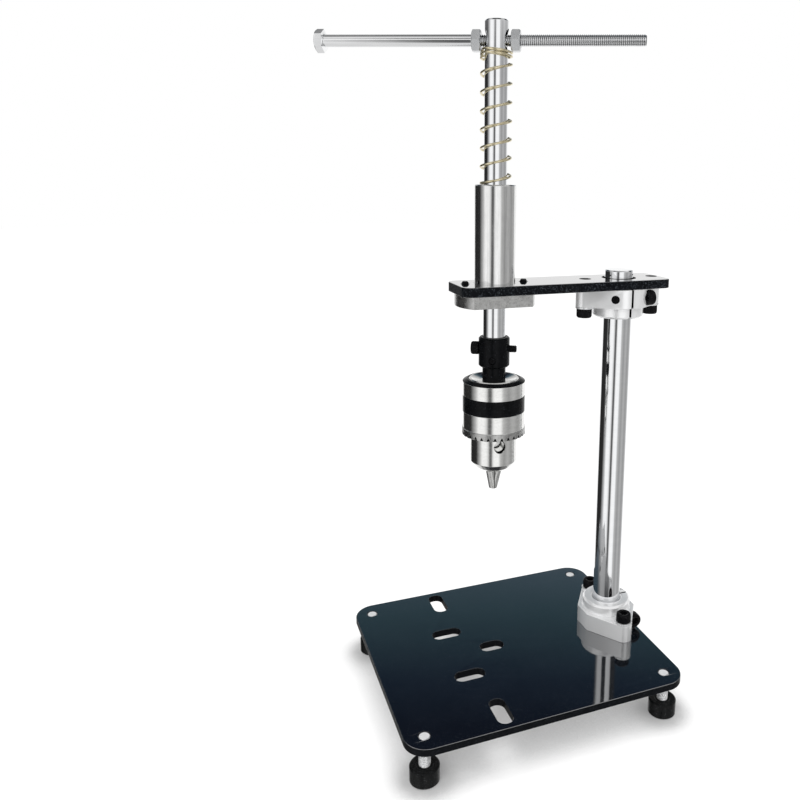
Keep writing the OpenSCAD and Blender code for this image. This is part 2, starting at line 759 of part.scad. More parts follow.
// Outline of the taper, from its big end down
function taper_r(z) = taper_d / 2 - (neck_z - z) * taper_fall / taper_l / 2;

module adapter() {
    chamfer = 0.8;
    color("#121315") at_spindle() difference() {
        union() {
            translate([0, 0, adapter_base]) rod(adapter_d, adapter_l, chamfer);
            translate([0, 0, neck_z]) cylinder(d = neck_d, h = neck_l + over);
            translate([0, 0, taper_z]) cylinder(r1 = taper_r(taper_z), r2 = taper_d / 2, h = taper_l);
        }
        translate([0, 0, seat_z]) cylinder(d = spindle_d + 2 * run_fit, h = adapter_bore_l + over);
        rotate([0, 0, handle_turn]) {
            translate([0, 0, seat_z + cross_z]) rotate([0, 90, 0])
                cylinder(d = m4_d + 2 * run_fit, h = 2 * adapter_d, center = true);
            translate([0, 0, seat_z + grub_z]) rotate([90, 0, 0]) cylinder(d = m4_d, h = adapter_d);
        }
    }
}

module adapter_bolt() {
    tip = 12;
    color("#121315") along_handle(seat_z + cross_z) translate([0, 0, -adapter_d / 2]) rotate([180, 0, 0])
        cap_screw(m4_d, m4_head_d, m4_head_h, m4_socket, adapter_d / 2 + tip);
}

module adapter_grub() {
    socket = 2;
    color("#2a2b2d") at_spindle(handle_turn) translate([0, -spindle_d / 2 - run_fit, seat_z + grub_z])
        rotate([90, 0, 0]) difference() {
            cylinder(d = m4_d - 2 * run_fit, h = grub_l);
            translate([0, 0, grub_l / 2]) cylinder(d = socket / cos(30), h = grub_l, $fn = 6);
        }
}

// Places its children on a jaw's slanted axis, with z = 0 at the tip
module on_jaw_axis(turn) {
    rotate([0, 0, turn]) translate([-jaw_cross, 0, tip_z]) rotate([0, jaw_angle, 0]) children();
}

module chuck_body() {
    groove_d = 2 * (jaw_r(nut_z) + jaw_d / 2 / cos(jaw_angle) - 1);
    land = 1;
    color("#b4b5b2") at_spindle() difference() {
        rotate_extrude() polygon([
            [0, nose_z], [cone_d / 2, nose_z], [(cone_d + nose_d) / 4 + 0.5, nose_z + cone_l / 2 - 0.5],
            [nose_d / 2, cone_top], [nose_d / 2, nut_z - sleeve_fit - 0.2], [groove_d / 2, nut_z - sleeve_fit],
            [groove_d / 2, nut_top + sleeve_fit], [body_d / 2, nut_top + sleeve_fit],
            [body_d / 2, body_top - 0.4], [body_d / 2 - 0.4, body_top], [body_d / 2 - land, body_top],
            [neck_d / 2 + land, neck_z], [0, neck_z]]);
        // seat of the taper and the passage for the tool's shank
        translate([0, 0, taper_z]) cylinder(r1 = taper_r(taper_z), r2 = taper_r(neck_z), h = taper_l);
        translate([0, 0, neck_z - 0.01]) cylinder(d = taper_d, h = over);
        translate([0, 0, nose_z - over]) cylinder(d = passage_d, h = taper_z - nose_z + over + 0.01);
        for (i = [0:2]) {
            on_jaw_axis(jaw_turn + 120 * i) cylinder(d = jaw_d + 2 * jaw_fit, h = jaw_bore_l);
            rotate([0, 0, jaw_turn + 60 + 120 * i]) translate([nose_d / 2 - key_depth, 0, nose_z + key_z])
                rotate([0, 90, 0]) cylinder(d = key_d, h = key_depth + over);
        }
    }
}

module chuck_sleeve() {
    bore = nose_d / 2 + sleeve_fit;
    well = sleeve_d / 2 - 1.1;
    rim_z = sleeve_z + face_rise;
    lip = rim_z + rim_h;
    band_top = sleeve_top - band_z;
    band_low = band_top - band_h;
    color("#b4b5b2") at_spindle() difference() {
        rotate_extrude() polygon([
            [bore, sleeve_z], [face_d / 2, sleeve_z], [rim_d / 2, rim_z], [rim_d / 2, lip],
            [sleeve_d / 2, lip + 0.4], [sleeve_d / 2, band_low], [sleeve_d / 2 - band_depth, band_low],
            [sleeve_d / 2 - band_depth, band_top], [sleeve_d / 2, band_top],
            [sleeve_d / 2, sleeve_top - shoulder_h], [body_d / 2 + 1, sleeve_top],
            [body_d / 2 + sleeve_fit, sleeve_top], [body_d / 2 + sleeve_fit, well_top],
            [well, well_top - 1], [well, nut_top], [nut_d / 2, nut_top], [nut_d / 2, nut_z + 1],
            [nut_d / 2 - 1, nut_z], [bore, nut_z]]);
        for (i = [0:teeth - 1]) rotate([0, 0, i * 360 / teeth]) tooth_gap();
    }
}

// One gap between two teeth: a wedge with its edge upwards, which runs out where the
// toothed face starts and is highest at the rim
module tooth_gap() {
    face_w = (rim_d - face_d) / 2;
    edge_z = sleeve_z + face_rise + tooth_gap_h;
    slope = atan((face_rise + tooth_gap_h) / face_w);
    depth = 2 * tooth_gap_h;
    half = tooth_gap_w / tooth_gap_h / 2 * depth / cos(slope);
    translate([rim_d / 2, 0, edge_z]) rotate([0, 90 - slope, 0])
        translate([0, 0, -2 * face_w]) linear_extrude(3 * face_w)
            polygon([[0, 0], [depth, -half], [depth, half]]);
}

module chuck_nut() {
    split = 0.3;
    low_r = jaw_r(nut_z) + jaw_d / 2 / cos(jaw_angle) + jaw_fit;
    high_r = jaw_r(nut_top) + jaw_d / 2 / cos(jaw_angle) + jaw_fit;
    color("#8d8f8c") at_spindle() difference() {
        rotate_extrude() polygon([
            [low_r, nut_z], [nut_d / 2 - 1, nut_z], [nut_d / 2, nut_z + 1], [nut_d / 2, nut_top], [high_r, nut_top]]);
        rotate([0, 0, jaw_turn + 60]) translate([-sleeve_d, -split / 2, nut_z - over])
            cube([2 * sleeve_d, split, nut_h + 2 * over]);
    }
}

module jaw(turn) {
    reach_out = 40;
    parting = 0.03;
    color("#9c9e9b") at_spindle() intersection() {
        on_jaw_axis(turn) translate([0, 0, -jaw_d]) cylinder(d = jaw_d, h = jaw_l + jaw_d);
        // the two parting faces, the grip land and the flat tip
        rotate([0, 0, turn]) translate([0, 0, tip_z]) linear_extrude(jaw_l + jaw_d)
            polygon([[grip_min / 2, -grip_min / 2 * tan(60) + 2 * parting],
                     [reach_out, -reach_out * tan(60) + 2 * parting],
                     [reach_out, reach_out * tan(60) - 2 * parting],
                     [grip_min / 2, grip_min / 2 * tan(60) - 2 * parting]]);
    }
}

base_plate();
base_clamp();
base_clamp_bolts();
base_clamp_screw();
foot_pad(-1, -1);  // foot_pad_fl
foot_pad(1, -1);  // foot_pad_fr
foot_pad(-1, 1);  // foot_pad_bl
foot_pad(1, 1);  // foot_pad_br
foot_stud(-1, -1);  // foot_stud_fl
foot_stud(1, -1);  // foot_stud_fr
foot_stud(-1, 1);  // foot_stud_bl
foot_stud(1, 1);  // foot_stud_br
column();
arm_plate();
arm_clamp();
arm_clamp_bolts();
arm_clamp_screw();
guide_sleeve();
guide_retainer();
guide_balls();
guide_seals();
guide_end_rings();
guide_screws();
return_spring();
spindle();
handle_bolt();
handle_nuts();
adapter();
adapter_bolt();
adapter_grub();
chuck_body();
chuck_sleeve();
chuck_nut();
jaw(jaw_turn);  // jaw_1
jaw(jaw_turn + 120);  // jaw_2
jaw(jaw_turn + 240);  // jaw_3
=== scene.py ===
"""Looks of the manual tapping machine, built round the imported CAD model.

Shapes are written in millimetres in the row frame and scaled to metres when a piece is made.
"""

from math import atan2, ceil, cos, inf, pi, radians, sin, sqrt, tan

import bmesh
import bpy
from mathutils import Matrix, Vector
from mathutils.geometry import tessellate_polygon


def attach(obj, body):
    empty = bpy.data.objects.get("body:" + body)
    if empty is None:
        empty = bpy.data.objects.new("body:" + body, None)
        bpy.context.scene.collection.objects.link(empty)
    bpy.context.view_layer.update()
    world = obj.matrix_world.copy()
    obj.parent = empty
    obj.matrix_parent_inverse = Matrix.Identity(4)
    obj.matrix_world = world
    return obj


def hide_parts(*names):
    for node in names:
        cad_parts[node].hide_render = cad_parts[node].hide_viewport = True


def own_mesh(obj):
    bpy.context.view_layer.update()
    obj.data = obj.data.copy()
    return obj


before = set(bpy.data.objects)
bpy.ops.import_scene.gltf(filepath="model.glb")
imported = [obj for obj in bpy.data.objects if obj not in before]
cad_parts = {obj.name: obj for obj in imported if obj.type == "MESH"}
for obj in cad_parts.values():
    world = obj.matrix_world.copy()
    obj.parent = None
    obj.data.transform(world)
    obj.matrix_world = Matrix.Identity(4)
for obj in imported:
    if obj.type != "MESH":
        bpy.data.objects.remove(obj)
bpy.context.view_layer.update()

MM = 0.001

# Sizes in millimetres: R is a radius, W a width, D a depth, H a height, L a length and T a
# thickness. X, Y and Z are places in the row frame, and TOP is the height of an upper face.
BASE_W, BASE_D, BASE_Z, BASE_TOP, BASE_R = 155, 135, 20, 24, 12
SLOT_W, CHUCK_SLOT_L = 8.5, 14
END_SLOT_L, END_SLOT_X, END_SLOT_Y = 19.5, -26.5, 54.3
SIDE_SLOT_L, SIDE_SLOT_X, SIDE_SLOT_Y = 17, -31.5, 20.8
FOOT_X, FOOT_Y, PAD_R, PAD_H, PAD_ROUND, STUD_R, STUD_Z = 67.5, 57.5, 7.5, 9, 0.7, 3, 4
COLUMN_X, COLUMN_R, COLUMN_TOP = 63, 8, 238.5
ARM_Z, ARM_TOP, ARM_LEFT, ARM_RIGHT = 229, 234, -32.7, 88.5
ARM_HALF, ARM_R, ARM_BORE, BOLT_SINK, SCREW_SINK = 15, 5, 9.5, (2.4, 0.9), (1.5, 1.1)
CLAMP_H, CLAMP_HALF, CLAMP_FLAT, COLLAR_R = 16.5, 16, 6, 14.2
FLANGE_T, LOBE_X, LOBE_R, SLIT = 10.3, 21.4, 4.6, 1.3
BOLT_X, BOLT_R, THREAD_L, BASE_GRIP, ARM_GRIP = 21, 2.5, 4.5, 4, 3.4
WASHER_R, WASHER_BORE, WASHER_T = 5, 2.65, 1
PINCH_SEAT, PINCH_SEAT_R, PINCH_L, PINCH_THREAD, PINCH_Y = 10.5, 4.35, 16, 8, -11.5
SET_R, SET_L, SET_SOCKET, SET_MOUTH, SET_HOLE_L = 2.3, 2, 2.4, 1.5, 12
SPINDLE_X, SPINDLE_R, SPINDLE_TOP, SEAT_Z, ROD_CHAMFER = -11, 6, 363.6, 191.5, 0.8
GUIDE_Z, GUIDE_TOP, GUIDE_R, GUIDE_BORE = 222.5, 284.3, 10.75, 8.7
GUIDE_HALF, GUIDE_FLANGE_R, GUIDE_CHAMFER = 13.5, 21, 0.5
SCREW_X, SCREW_R, SCREW_SEAT, SCREW_OUT, COUNTERBORE_R = 16.25, 2, 226.5, 1.5, 3.65
SPRING_L, SPRING_R, WIRE_R = 64.4, 7.6, 0.6
HANDLE_Z, HANDLE_TURN, HANDLE_R = 353.8, -28, 3
HANDLE_LEFT, HANDLE_RIGHT, HEAD_T, HEX_W = 87, 73, 4, 10
NUT_T, NUT_LEFT, NUT_RIGHT = 4.5, -12.1, 7.4
SINK_R, SINK_DEPTH = 5.6, 2.6
ADAPTER_R, ADAPTER_Z, ADAPTER_TOP, ADAPTER_CHAMFER = 8.25, 189.5, 205.5, 0.8
NECK_R, NECK_Z, PLUG_L = 6.2, 181.7, 17
CROSS_Z, CROSS_R, CROSS_REACH = 199, 2, 12
GRUB_Z, GRUB_R, GRUB_L, GRUB_HOLE_R, GRUB_SOCKET, GRUB_MOUTH = 193.8, 1.9, 2, 2, 2, 1.25
GRUB_TOOL_Y, GRUB_TOOL_REACH = -12, 7
SLEEVE_R, SLEEVE_Z, SLEEVE_TOP = 16.75, 151.3, 182.8
BAND_Z, BAND_TOP, BAND_DEPTH, BAND_FIT = 165.4, 174.1, 0.25, 0.1
HOLLOW_R, HOLLOW_Z, NUT_SEAT_R, NUT_SEAT_Z = 15.6, 159.1, 14.7, 156
RIM_R, RIM_H, FACE_R, FACE_RISE = 17.1, 3.6, 13.2, 1.3
TEETH, GAP_H, GAP_W = 30, 2, 2.1
BODY_R, BODY_TOP, NOSE_R, NOSE_Z, CONE_TOP, CONE_R = 13.25, 183.3, 12.5, 131.8, 137.2, 5.9
KEY_Z, KEY_R, KEY_DEPTH, KEY_RING = 147.9, 3.2, 5.5, 2.4
TIP_Z, TIP_X, JAW_ANGLE, JAW_TURN, JAW_BORE, NOSE_BORE = 120.8, -0.35, 13.5, -35, 2.58, 5.1
FIT = 0.04
EDGE = 0.3
# How far a cutting tool runs through a part
THROUGH = 30
# An upright wall's normal has less than this along Z
UPRIGHT = 0.6
# The most of a side that a rounded corner takes, and the least divisor at a sharp one
SIDE_SHARE, LEAST_DIVISOR = 0.48, 0.3
# Thread diameter, head diameter, head height, socket width, pitch and knurls of the cap screws
M5 = (5, 8.5, 5, 4, 0.8, 36)
M4 = (4, 7, 4, 3, 0.7, 30)
COARSE_PITCH, COARSE_DEPTH = 1.0, 0.55


# Placing
def T(x=0, y=0, z=0):
    """A shift."""
    return Matrix.Translation((x, y, z))


def R(axis, degrees):
    """A turn about an axis."""
    return Matrix.Rotation(radians(degrees), 4, axis)


def mirror(x=1, z=1):
    """A mirror image along each axis that is given -1."""
    return Matrix.Diagonal((x, 1, z, 1))


def along_handle(x, z):
    """A frame with its origin at x and z, and with its Z along the handle."""
    return T(x, 0, z) @ R("Z", HANDLE_TURN) @ R("Y", 90)


AT_SPINDLE = T(SPINDLE_X)
AT_COLUMN = T(COLUMN_X)
LOWER_CLAMP = T(COLUMN_X, 0, BASE_TOP) @ R("Z", 90) @ mirror(x=-1)
UPPER_CLAMP = T(COLUMN_X, 0, ARM_Z) @ mirror(z=-1)


# Outlines and mesh builders. A mesh is a pair: its points and its faces.
def rounded(points, closed=False, steps=4):
    """A line of (u, v, radius) points with each corner rounded by its radius."""
    out = []
    last = len(points) - 1
    for i, p in enumerate(points):
        radius = p[2] if len(p) > 2 else 0
        if not radius or (not closed and i in (0, last)):
            out.append((p[0], p[1]))
            continue
        b = Vector(p[:2])
        u = Vector(points[i - 1][:2]) - b
        v = Vector(points[(i + 1) % len(points)][:2]) - b
        half = u.angle(v) / 2
        back = min(radius / tan(half), SIDE_SHARE * u.length, SIDE_SHARE * v.length)
        u.normalize()
        v.normalize()
        radius = back * tan(half)
        centre = b + (u + v).normalized() * radius / sin(half)
        start, end = b + u * back - centre, b + v * back - centre
        first = atan2(start.y, start.x)
        sweep = (atan2(end.y, end.x) - first + pi) % (2 * pi) - pi
        for k in range(steps + 1):
            a = first + sweep * k / steps
            out.append((centre.x + radius * cos(a), centre.y + radius * sin(a)))
    return out


def circle(x, y, r, steps=48):
    """An anticlockwise circle of points."""
    turns = [2 * pi * k / steps for k in range(steps)]
    return [(x + r * cos(a), y + r * sin(a)) for a in turns]


def box_outline(x0, y0, x1, y1, r, steps):
    """A rectangle with corners of radius r."""
    return rounded([(x0, y0, r), (x1, y0, r), (x1, y1, r), (x0, y1, r)], True, steps)


def slot_outline(x, y, length, turn):
    """A slot of the plate, along X, or along Y where turn is true."""
    a, b = (SLOT_W, length) if turn else (length, SLOT_W)
    return box_outline(x - a / 2, y - b / 2, x + a / 2, y + b / 2, SLOT_W / 2 - 0.001, 16)


def offset(points, d):
    """An anticlockwise outline moved outwards by d. A third number scales an outward move."""
    out = []
    for i, p in enumerate(points):
        a, b, c = Vector(points[i - 1][:2]), Vector(p[:2]), Vector(points[(i + 1) % len(points)][:2])
        e, f = (b - a).normalized(), (c - b).normalized()
        n, m = Vector((e.y, -e.x)), Vector((f.y, -f.x))
        step = d * (p[2] if len(p) > 2 and d > 0 else 1)
        q = b + (n + m) * step / max(LEAST_DIVISOR, 1 + n.dot(m))
        out.append((q.x, q.y))
    return out


def edges(z0, z1, r):
    """Levels (height, offset) of a wall with rounded edges of radius r."""
    low = [(z0 + r * (1 - cos(a)), -r * (1 - sin(a))) for a in (0, pi / 6, pi / 3, pi / 2)]
    return low + [(z0 + z1 - z, o) for z, o in reversed(low)]


def prism(outline, holes, levels):
    """A flat piece with holes, its wall led through the levels, with sharper edges at the holes."""
    hole_share = 0.35
    verts, faces, rows = [], [], []
    for z, off in levels:
        row = []
        for k, loop in enumerate([outline] + holes):
            ring = offset(loop, off if k == 0 else -off * hole_share)
            row.append(list(range(len(verts), len(verts) + len(ring))))
            verts += [(x, y, z) for x, y in ring]
        rows.append(row)
    for low, high in zip(rows, rows[1:]):
        for a, b in zip(low, high):
            faces += [(a[i], a[(i + 1) % len(a)], b[(i + 1) % len(a)], b[i]) for i in range(len(a))]
    for row in (rows[0], rows[-1]):
        flat = [i for ring in row for i in ring]
        loops = [[Vector(verts[i]) for i in ring] for ring in row]
        faces += [tuple(flat[i] for i in t) for t in tessellate_polygon(loops)]
    return verts, faces


def polar(rings, seg=96, closed=False):
    """A form round Z from rings (radius, height). Either may be a function of the angle."""
    verts, faces, rows = [], [], []
    for r, z in rings:
        if not callable(r) and r == 0:
            rows.append([len(verts)] * seg)
            verts.append((0, 0, z))
            continue
        rows.append(list(range(len(verts), len(verts) + seg)))
        for k in range(seg):
            a = 2 * pi * k / seg
            radius = r(a) if callable(r) else r
            verts.append((radius * cos(a), radius * sin(a), z(a) if callable(z) else z))
    for low, high in zip(rows, rows[1:] + ([rows[0]] if closed else [])):
        for i in range(seg):
            j = (i + 1) % seg
            f = [low[i], low[j], high[j], high[i]]
            f = [v for k, v in enumerate(f) if v != f[k - 1]]
            if len(f) > 2:
                faces.append(tuple(f))
    if not closed:
        faces += [tuple(row) for row in (rows[0], rows[-1]) if row[0] != row[1]]
    return verts, faces


def lathe(points, seg=96, closed=False):
    """A form turned round Z from (radius, height, rounding) points."""
    return polar(rounded(points, closed), seg, closed)


def cylinder(r, z0, z1, seg=48):
    """A plain round bar between two heights."""
    return polar([(0, z0), (r, z0), (r, z1), (0, z1)], seg)


def rod(r, z0, z1, chamfer, soft, seg):
    """A round bar with chamfered ends. soft rounds the lower and the upper chamfer's corners."""
    low, high = soft
    return lathe([(0, z0), (r - chamfer, z0, low), (r, z0 + chamfer, low),
                  (r, z1 - chamfer, high), (r - chamfer, z1, high), (0, z1)], seg)


def thread_rings(r, pitch, depth, z0, z1, chamfer):
    """Rings of a screw thread between two heights, six to a turn, chamfered at the upper end."""
    count = ceil((z1 - z0) / pitch * 6)
    rings = []
    for i in range(count + 1):
        z = z0 + (z1 - z0) * i / count
        limit = r - max(0, chamfer - (z1 - z))
        rings.append((lambda a, z=z, limit=limit:
                      min(limit, r - depth * abs(2 * ((z / pitch - a / 2 / pi) % 1) - 1)), z))
    return rings


def hexagon(af):
    """Radius of a hexagon with corners at 0, 60 … degrees, by angle."""
    return lambda a: af / 2 / cos(a % (pi / 3) - pi / 6)


def hex_rings(af, h, low, high):
    """Rings of a hexagonal block whose named ends have a turned chamfer."""
    hexa = hexagon(af)
    heights = [0, 0.12, 0.26, 0.42, 0.6, 0.8]
    face_r, slope = af / 2 * 0.95, 1.73
    out = []
    for z in heights + [h - v for v in reversed(heights)]:
        cut = min([face_r + slope * (v if on else inf) for v, on in ((z, low), (h - z, high))])
        out.append((lambda a, cut=cut: min(hexa(a), cut), z))
    return out


def cap_screw(kind, length, threaded, dome=0.0):
    """A socket-head screw along -Z with the seat of its head at z = 0, its end domed by dome."""
    d, head_d, h, socket, pitch, knurls = kind
    r = head_d / 2
    hexa = hexagon(socket)

    def side(a):
        return r - 0.14 * abs(sin(knurls * a / 2))

    head = polar([(0, 0), (r - 0.3, 0), (side, 0.25), (side, h - 0.95), (r - 0.1, h - 0.75),
                  (r - 0.16, h - 0.5), (r - 0.35, h - 0.15), (r - 0.6, h),
                  (socket / 2 / cos(pi / 6) + 0.2, h), (lambda a: hexa(a) + 0.03, h - 0.2),
                  (hexa, h - 0.3), (hexa, h / 2), (0, h / 2 - 0.6)], 144)
    end = thread_rings(d / 2, pitch, 0.3, length - threaded, length - dome, 0.6 - dome / 2)
    point = [(d / 2 - 0.8, length), (0, length)] if dome else [(d / 2 - 0.9, length), (0, length - 0.1)]
    shank = polar([(0, -0.5), (d / 2 - 0.3, -0.5)] + end + point, 32)
    flipped = [(x, -y, -z) for x, y, z in shank[0]]
    return [head, (flipped, shank[1])]


def set_screw(r, length, socket, mouth):
    """A short headless screw along Z, from z = 0, with a hexagon socket in its upper end."""
    hexa = hexagon(socket)
    return [polar([(0, 0), (r - 0.4, 0), (r, 0.3), (r, length - 0.3), (r - 0.3, length), (mouth, length),
                   (hexa, length - 0.2), (hexa, length / 2), (0, length / 2 - 0.2)], 48)]


def wire(path, r, seg=12):
    """A round wire swept along a path, closed at both ends."""
    verts, faces = [], []
    for i, p in enumerate(path):
        d = (path[min(i + 1, len(path) - 1)] - path[max(i - 1, 0)]).normalized()
        side = d.cross(Vector((0, 0, 1))).normalized()
        up = side.cross(d)
        for k in range(seg):
            a = 2 * pi * k / seg
            verts.append(tuple(p + r * (cos(a) * side + sin(a) * up)))
    for i in range(len(path) - 1):
        for k in range(seg):
            a, b = i * seg + k, i * seg + (k + 1) % seg
            faces.append((a, b, b + seg, a + seg))
    faces += [tuple(range(seg)), tuple(range(len(verts) - seg, len(verts)))]
    return verts, faces


def moved(meshes, where):
    """The same meshes at another place."""
    return [([tuple(where @ Vector(v)) for v in verts], faces) for verts, faces in meshes]


# Making pieces
def mesh_of(meshes, where):
    """One Blender mesh of all the meshes, placed by where."""
    bm = bmesh.new()
    for verts, faces in meshes:
        made = [bm.verts.new(where @ Vector(v)) for v in verts]
        for f in faces:
            bm.faces.new([made[i] for i in f])
    bmesh.ops.remove_doubles(bm, verts=bm.verts, dist=1e-5)
    bmesh.ops.dissolve_degenerate(bm, dist=1e-6, edges=bm.edges)
    bmesh.ops.recalc_face_normals(bm, faces=bm.faces)
    mesh = bpy.data.meshes.new("mesh")
    bm.to_mesh(mesh)
    bm.free()
    return mesh


def linked(name, data):
    """A new object in the scene."""
    obj = bpy.data.objects.new(name, data)
    bpy.context.scene.collection.objects.link(obj)
    return obj


def apply_modifiers(obj):
    """Makes an object's modifiers part of its mesh."""
    bpy.context.view_layer.update()
    graph = bpy.context.evaluated_depsgraph_get()
    mesh = bpy.data.meshes.new_from_object(obj.evaluated_get(graph))
    obj.modifiers.clear()
    obj.data = mesh


def piece(name, meshes, material, body, replaces=(), where=Matrix(), cuts=(), joins=(), sharp=38,
          others=()):
    """One object: meshes placed by where, with joins added and cuts taken out, riding on a body.

    others are further materials, each with the test, by middle and normal, of the faces that have it.
    """
    obj = linked(name, mesh_of(meshes, where))
    for kind, group in (("UNION", joins), ("DIFFERENCE", cuts)):
        for tool_meshes in group:
            tool = linked("tool", mesh_of(tool_meshes, where))
            step = obj.modifiers.new("step", "BOOLEAN")
            step.operation, step.solver, step.object = kind, "EXACT", tool
            apply_modifiers(obj)
            bpy.data.objects.remove(tool)
    mesh = obj.data
    mesh.transform(Matrix.Scale(MM, 4))
    mesh.polygons.foreach_set("use_smooth", [True] * len(mesh.polygons))
    mesh.set_sharp_from_angle(angle=radians(sharp))
    normals = obj.modifiers.new("normals", "WEIGHTED_NORMAL")
    normals.keep_sharp = True
    apply_modifiers(obj)
    obj.data.name = name
    obj.data.materials.clear()
    obj.data.materials.append(material)
    for k, (extra, test) in enumerate(others, 1):
        obj.data.materials.append(extra)
        for face in obj.data.polygons:
            if test(face.center / MM, face.normal):
                face.material_index = k
    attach(obj, body)
    if replaces:
        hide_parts(*replaces)
    return obj


# Materials
class Graph:
    """Short ways to add nodes to a material or a world."""

    def __init__(self, owner, clear=False):
        owner.use_nodes = True
        self.tree = owner.node_tree
        if clear:
            self.tree.nodes.clear()

    def put(self, socket, value):
        """Gives a socket another node's output, or a plain value."""
        if isinstance(value, bpy.types.NodeSocket):
            self.tree.links.new(value, socket)
        elif socket.type == "RGBA":
            socket.default_value = (*value, 1)
        else:
            socket.default_value = value

    def node(self, kind, inputs, **settings):
        """The outputs of a new node."""
        made = self.tree.nodes.new("ShaderNode" + kind)
        for key, value in settings.items():
            setattr(made, key, value)
        for key, value in inputs.items():
            self.put(made.inputs[key], value)
        return made.outputs

    def math(self, operation, a, b=0.0):
        """A calculation with one or two values."""
        return self.node("Math", {0: a, 1: b}, operation=operation)[0]

    def mix(self, share, a, b):
        """The colour a, or b to the share that is given."""
        return self.node("Mix", {0: share, 6: a, 7: b}, data_type="RGBA")[2]

    def stretch(self, value, low, high, to_low=0.0, to_high=1.0):
        """A value's range low to high, led to to_low to to_high."""
        return self.node("MapRange", {"Value": value, "From Min": low, "From Max": high,
                                      "To Min": to_low, "To Max": to_high})["Result"]

    def ramp(self, value, stops):
        """A colour by value, from stops of a place and a grey level or a colour."""
        made = self.tree.nodes.new("ShaderNodeValToRGB")
        elements = made.color_ramp.elements
        while len(elements) < len(stops):
            elements.new(0.5)
        for element, (at, level) in zip(elements, stops):
            element.position = at
            colour = level if isinstance(level, tuple) else (level,) * 3
            element.color = (*colour, 1)
        self.put(made.inputs[0], value)
        return made.outputs["Color"]


# The range of a noise that is led to the whole range between two colours
NOISE_LOW, NOISE_HIGH = 0.3, 0.7
# How much the noise rises from a speck's edge to its full tint
SPECK_EDGE = 0.06


def finish(name, dark, light, rough, metallic=1.0, axis=(0, 0, 0), turn=0, fine=3000, coarse=120, bump=0.0,
           bump_size=0.02, speck=None, groove_shade=None, seam_shade=None, coarse_share=0.5, **sockets):
    """A surface whose colour, gloss and relief vary by two noises, one fine and one coarse.

    dark and light are the colours between which it varies, rough the roughness' limits, axis the
    point that the noises are centred on, fine and coarse their scales per metre, for all axes or
    along each. speck is the scale, level and tint of specks, and groove_shade the two radii round
    the turned X axis between which a tint of painted shade, which darkens a thread's grooves, gives
    way to the colour. seam_shade is the same for the distances from three upright planes that meet
    on the turned axis, a painted shade where the jaws meet.
    """
    material = bpy.data.materials.new(name)
    graph = Graph(material)
    shader = material.node_tree.nodes["Principled BSDF"]
    place = graph.node("TexCoord", {})["Object"]
    shifted = graph.node("Mapping", {"Vector": place, "Location": [v * MM for v in axis],
                                     "Rotation": (0, 0, radians(turn))}, vector_type="TEXTURE")["Vector"]

    def noise(scale, detail):
        """Noise with a scale for all axes or for each."""
        scales = scale if isinstance(scale, tuple) else (scale,) * 3
        at = graph.node("VectorMath", {0: shifted, 1: scales}, operation="MULTIPLY")["Vector"]
        return graph.node("TexNoise", {"Vector": at, "Scale": 1, "Detail": detail})["Fac"]

    def length(*scales):
        """Distance from the shifted origin, each axis scaled."""
        at = graph.node("VectorMath", {0: shifted, 1: scales}, operation="MULTIPLY")["Vector"]
        return graph.node("VectorMath", {0: at}, operation="LENGTH")["Value"]

    def painted_shade_near(below, distance, low, high, tint):
        """The colour below, with a tint of painted shade up to the distance low that ends at high."""
        return graph.mix(graph.stretch(distance, low * MM, high * MM), tint, below)

    small, large = noise(fine, 2), noise(coarse, 3)
    both = graph.math("ADD", graph.math("MULTIPLY", small, 1 - coarse_share),
                      graph.math("MULTIPLY", large, coarse_share))
    colour = graph.mix(graph.stretch(both, NOISE_LOW, NOISE_HIGH), dark, light)
    if speck:
        scale, level, tint = speck
        colour = graph.mix(graph.stretch(noise(scale, 1), level, level + SPECK_EDGE), colour, tint)
    # Painted shade: a dark tint close to the turned axis, in a thread's grooves, and close to three upright
    # planes, where jaws meet.
    if groove_shade:
        colour = painted_shade_near(colour, length(0, 1, 1), *groove_shade)
    if seam_shade:
        x, y, _ = graph.node("SeparateXYZ", {0: shifted})
        away = graph.math("PINGPONG", graph.math("ARCTAN2", y, x), pi / 3)
        colour = painted_shade_near(colour, graph.math("MULTIPLY", graph.math("SINE", away), length(1, 1, 0)), *seam_shade)
    values = {"Metallic": metallic, "Base Color": colour,
              "Roughness": graph.stretch(both, NOISE_LOW, NOISE_HIGH, *rough)}
    values.update({key.replace("_", " "): value for key, value in sockets.items()})
    if bump:
        values["Normal"] = graph.node("Bump", {"Strength": bump, "Distance": bump_size * MM,
                                               "Height": small})["Normal"]
    for key, value in values.items():
        graph.put(shader.inputs[key], value)
    return material


ON_SPINDLE = (SPINDLE_X, 0, 0)

PLATE = finish("plate_black", (0.0035, 0.005, 0.008), (0.007, 0.010, 0.015), (0.03, 0.09), 0.0,
               fine=900, coarse=45, bump=0.15, bump_size=0.01, speck=(1600, 0.70, (0.05, 0.06, 0.07)),
               IOR=2.6, Coat_Weight=1.0, Coat_IOR=2.7, Coat_Roughness=0.03)
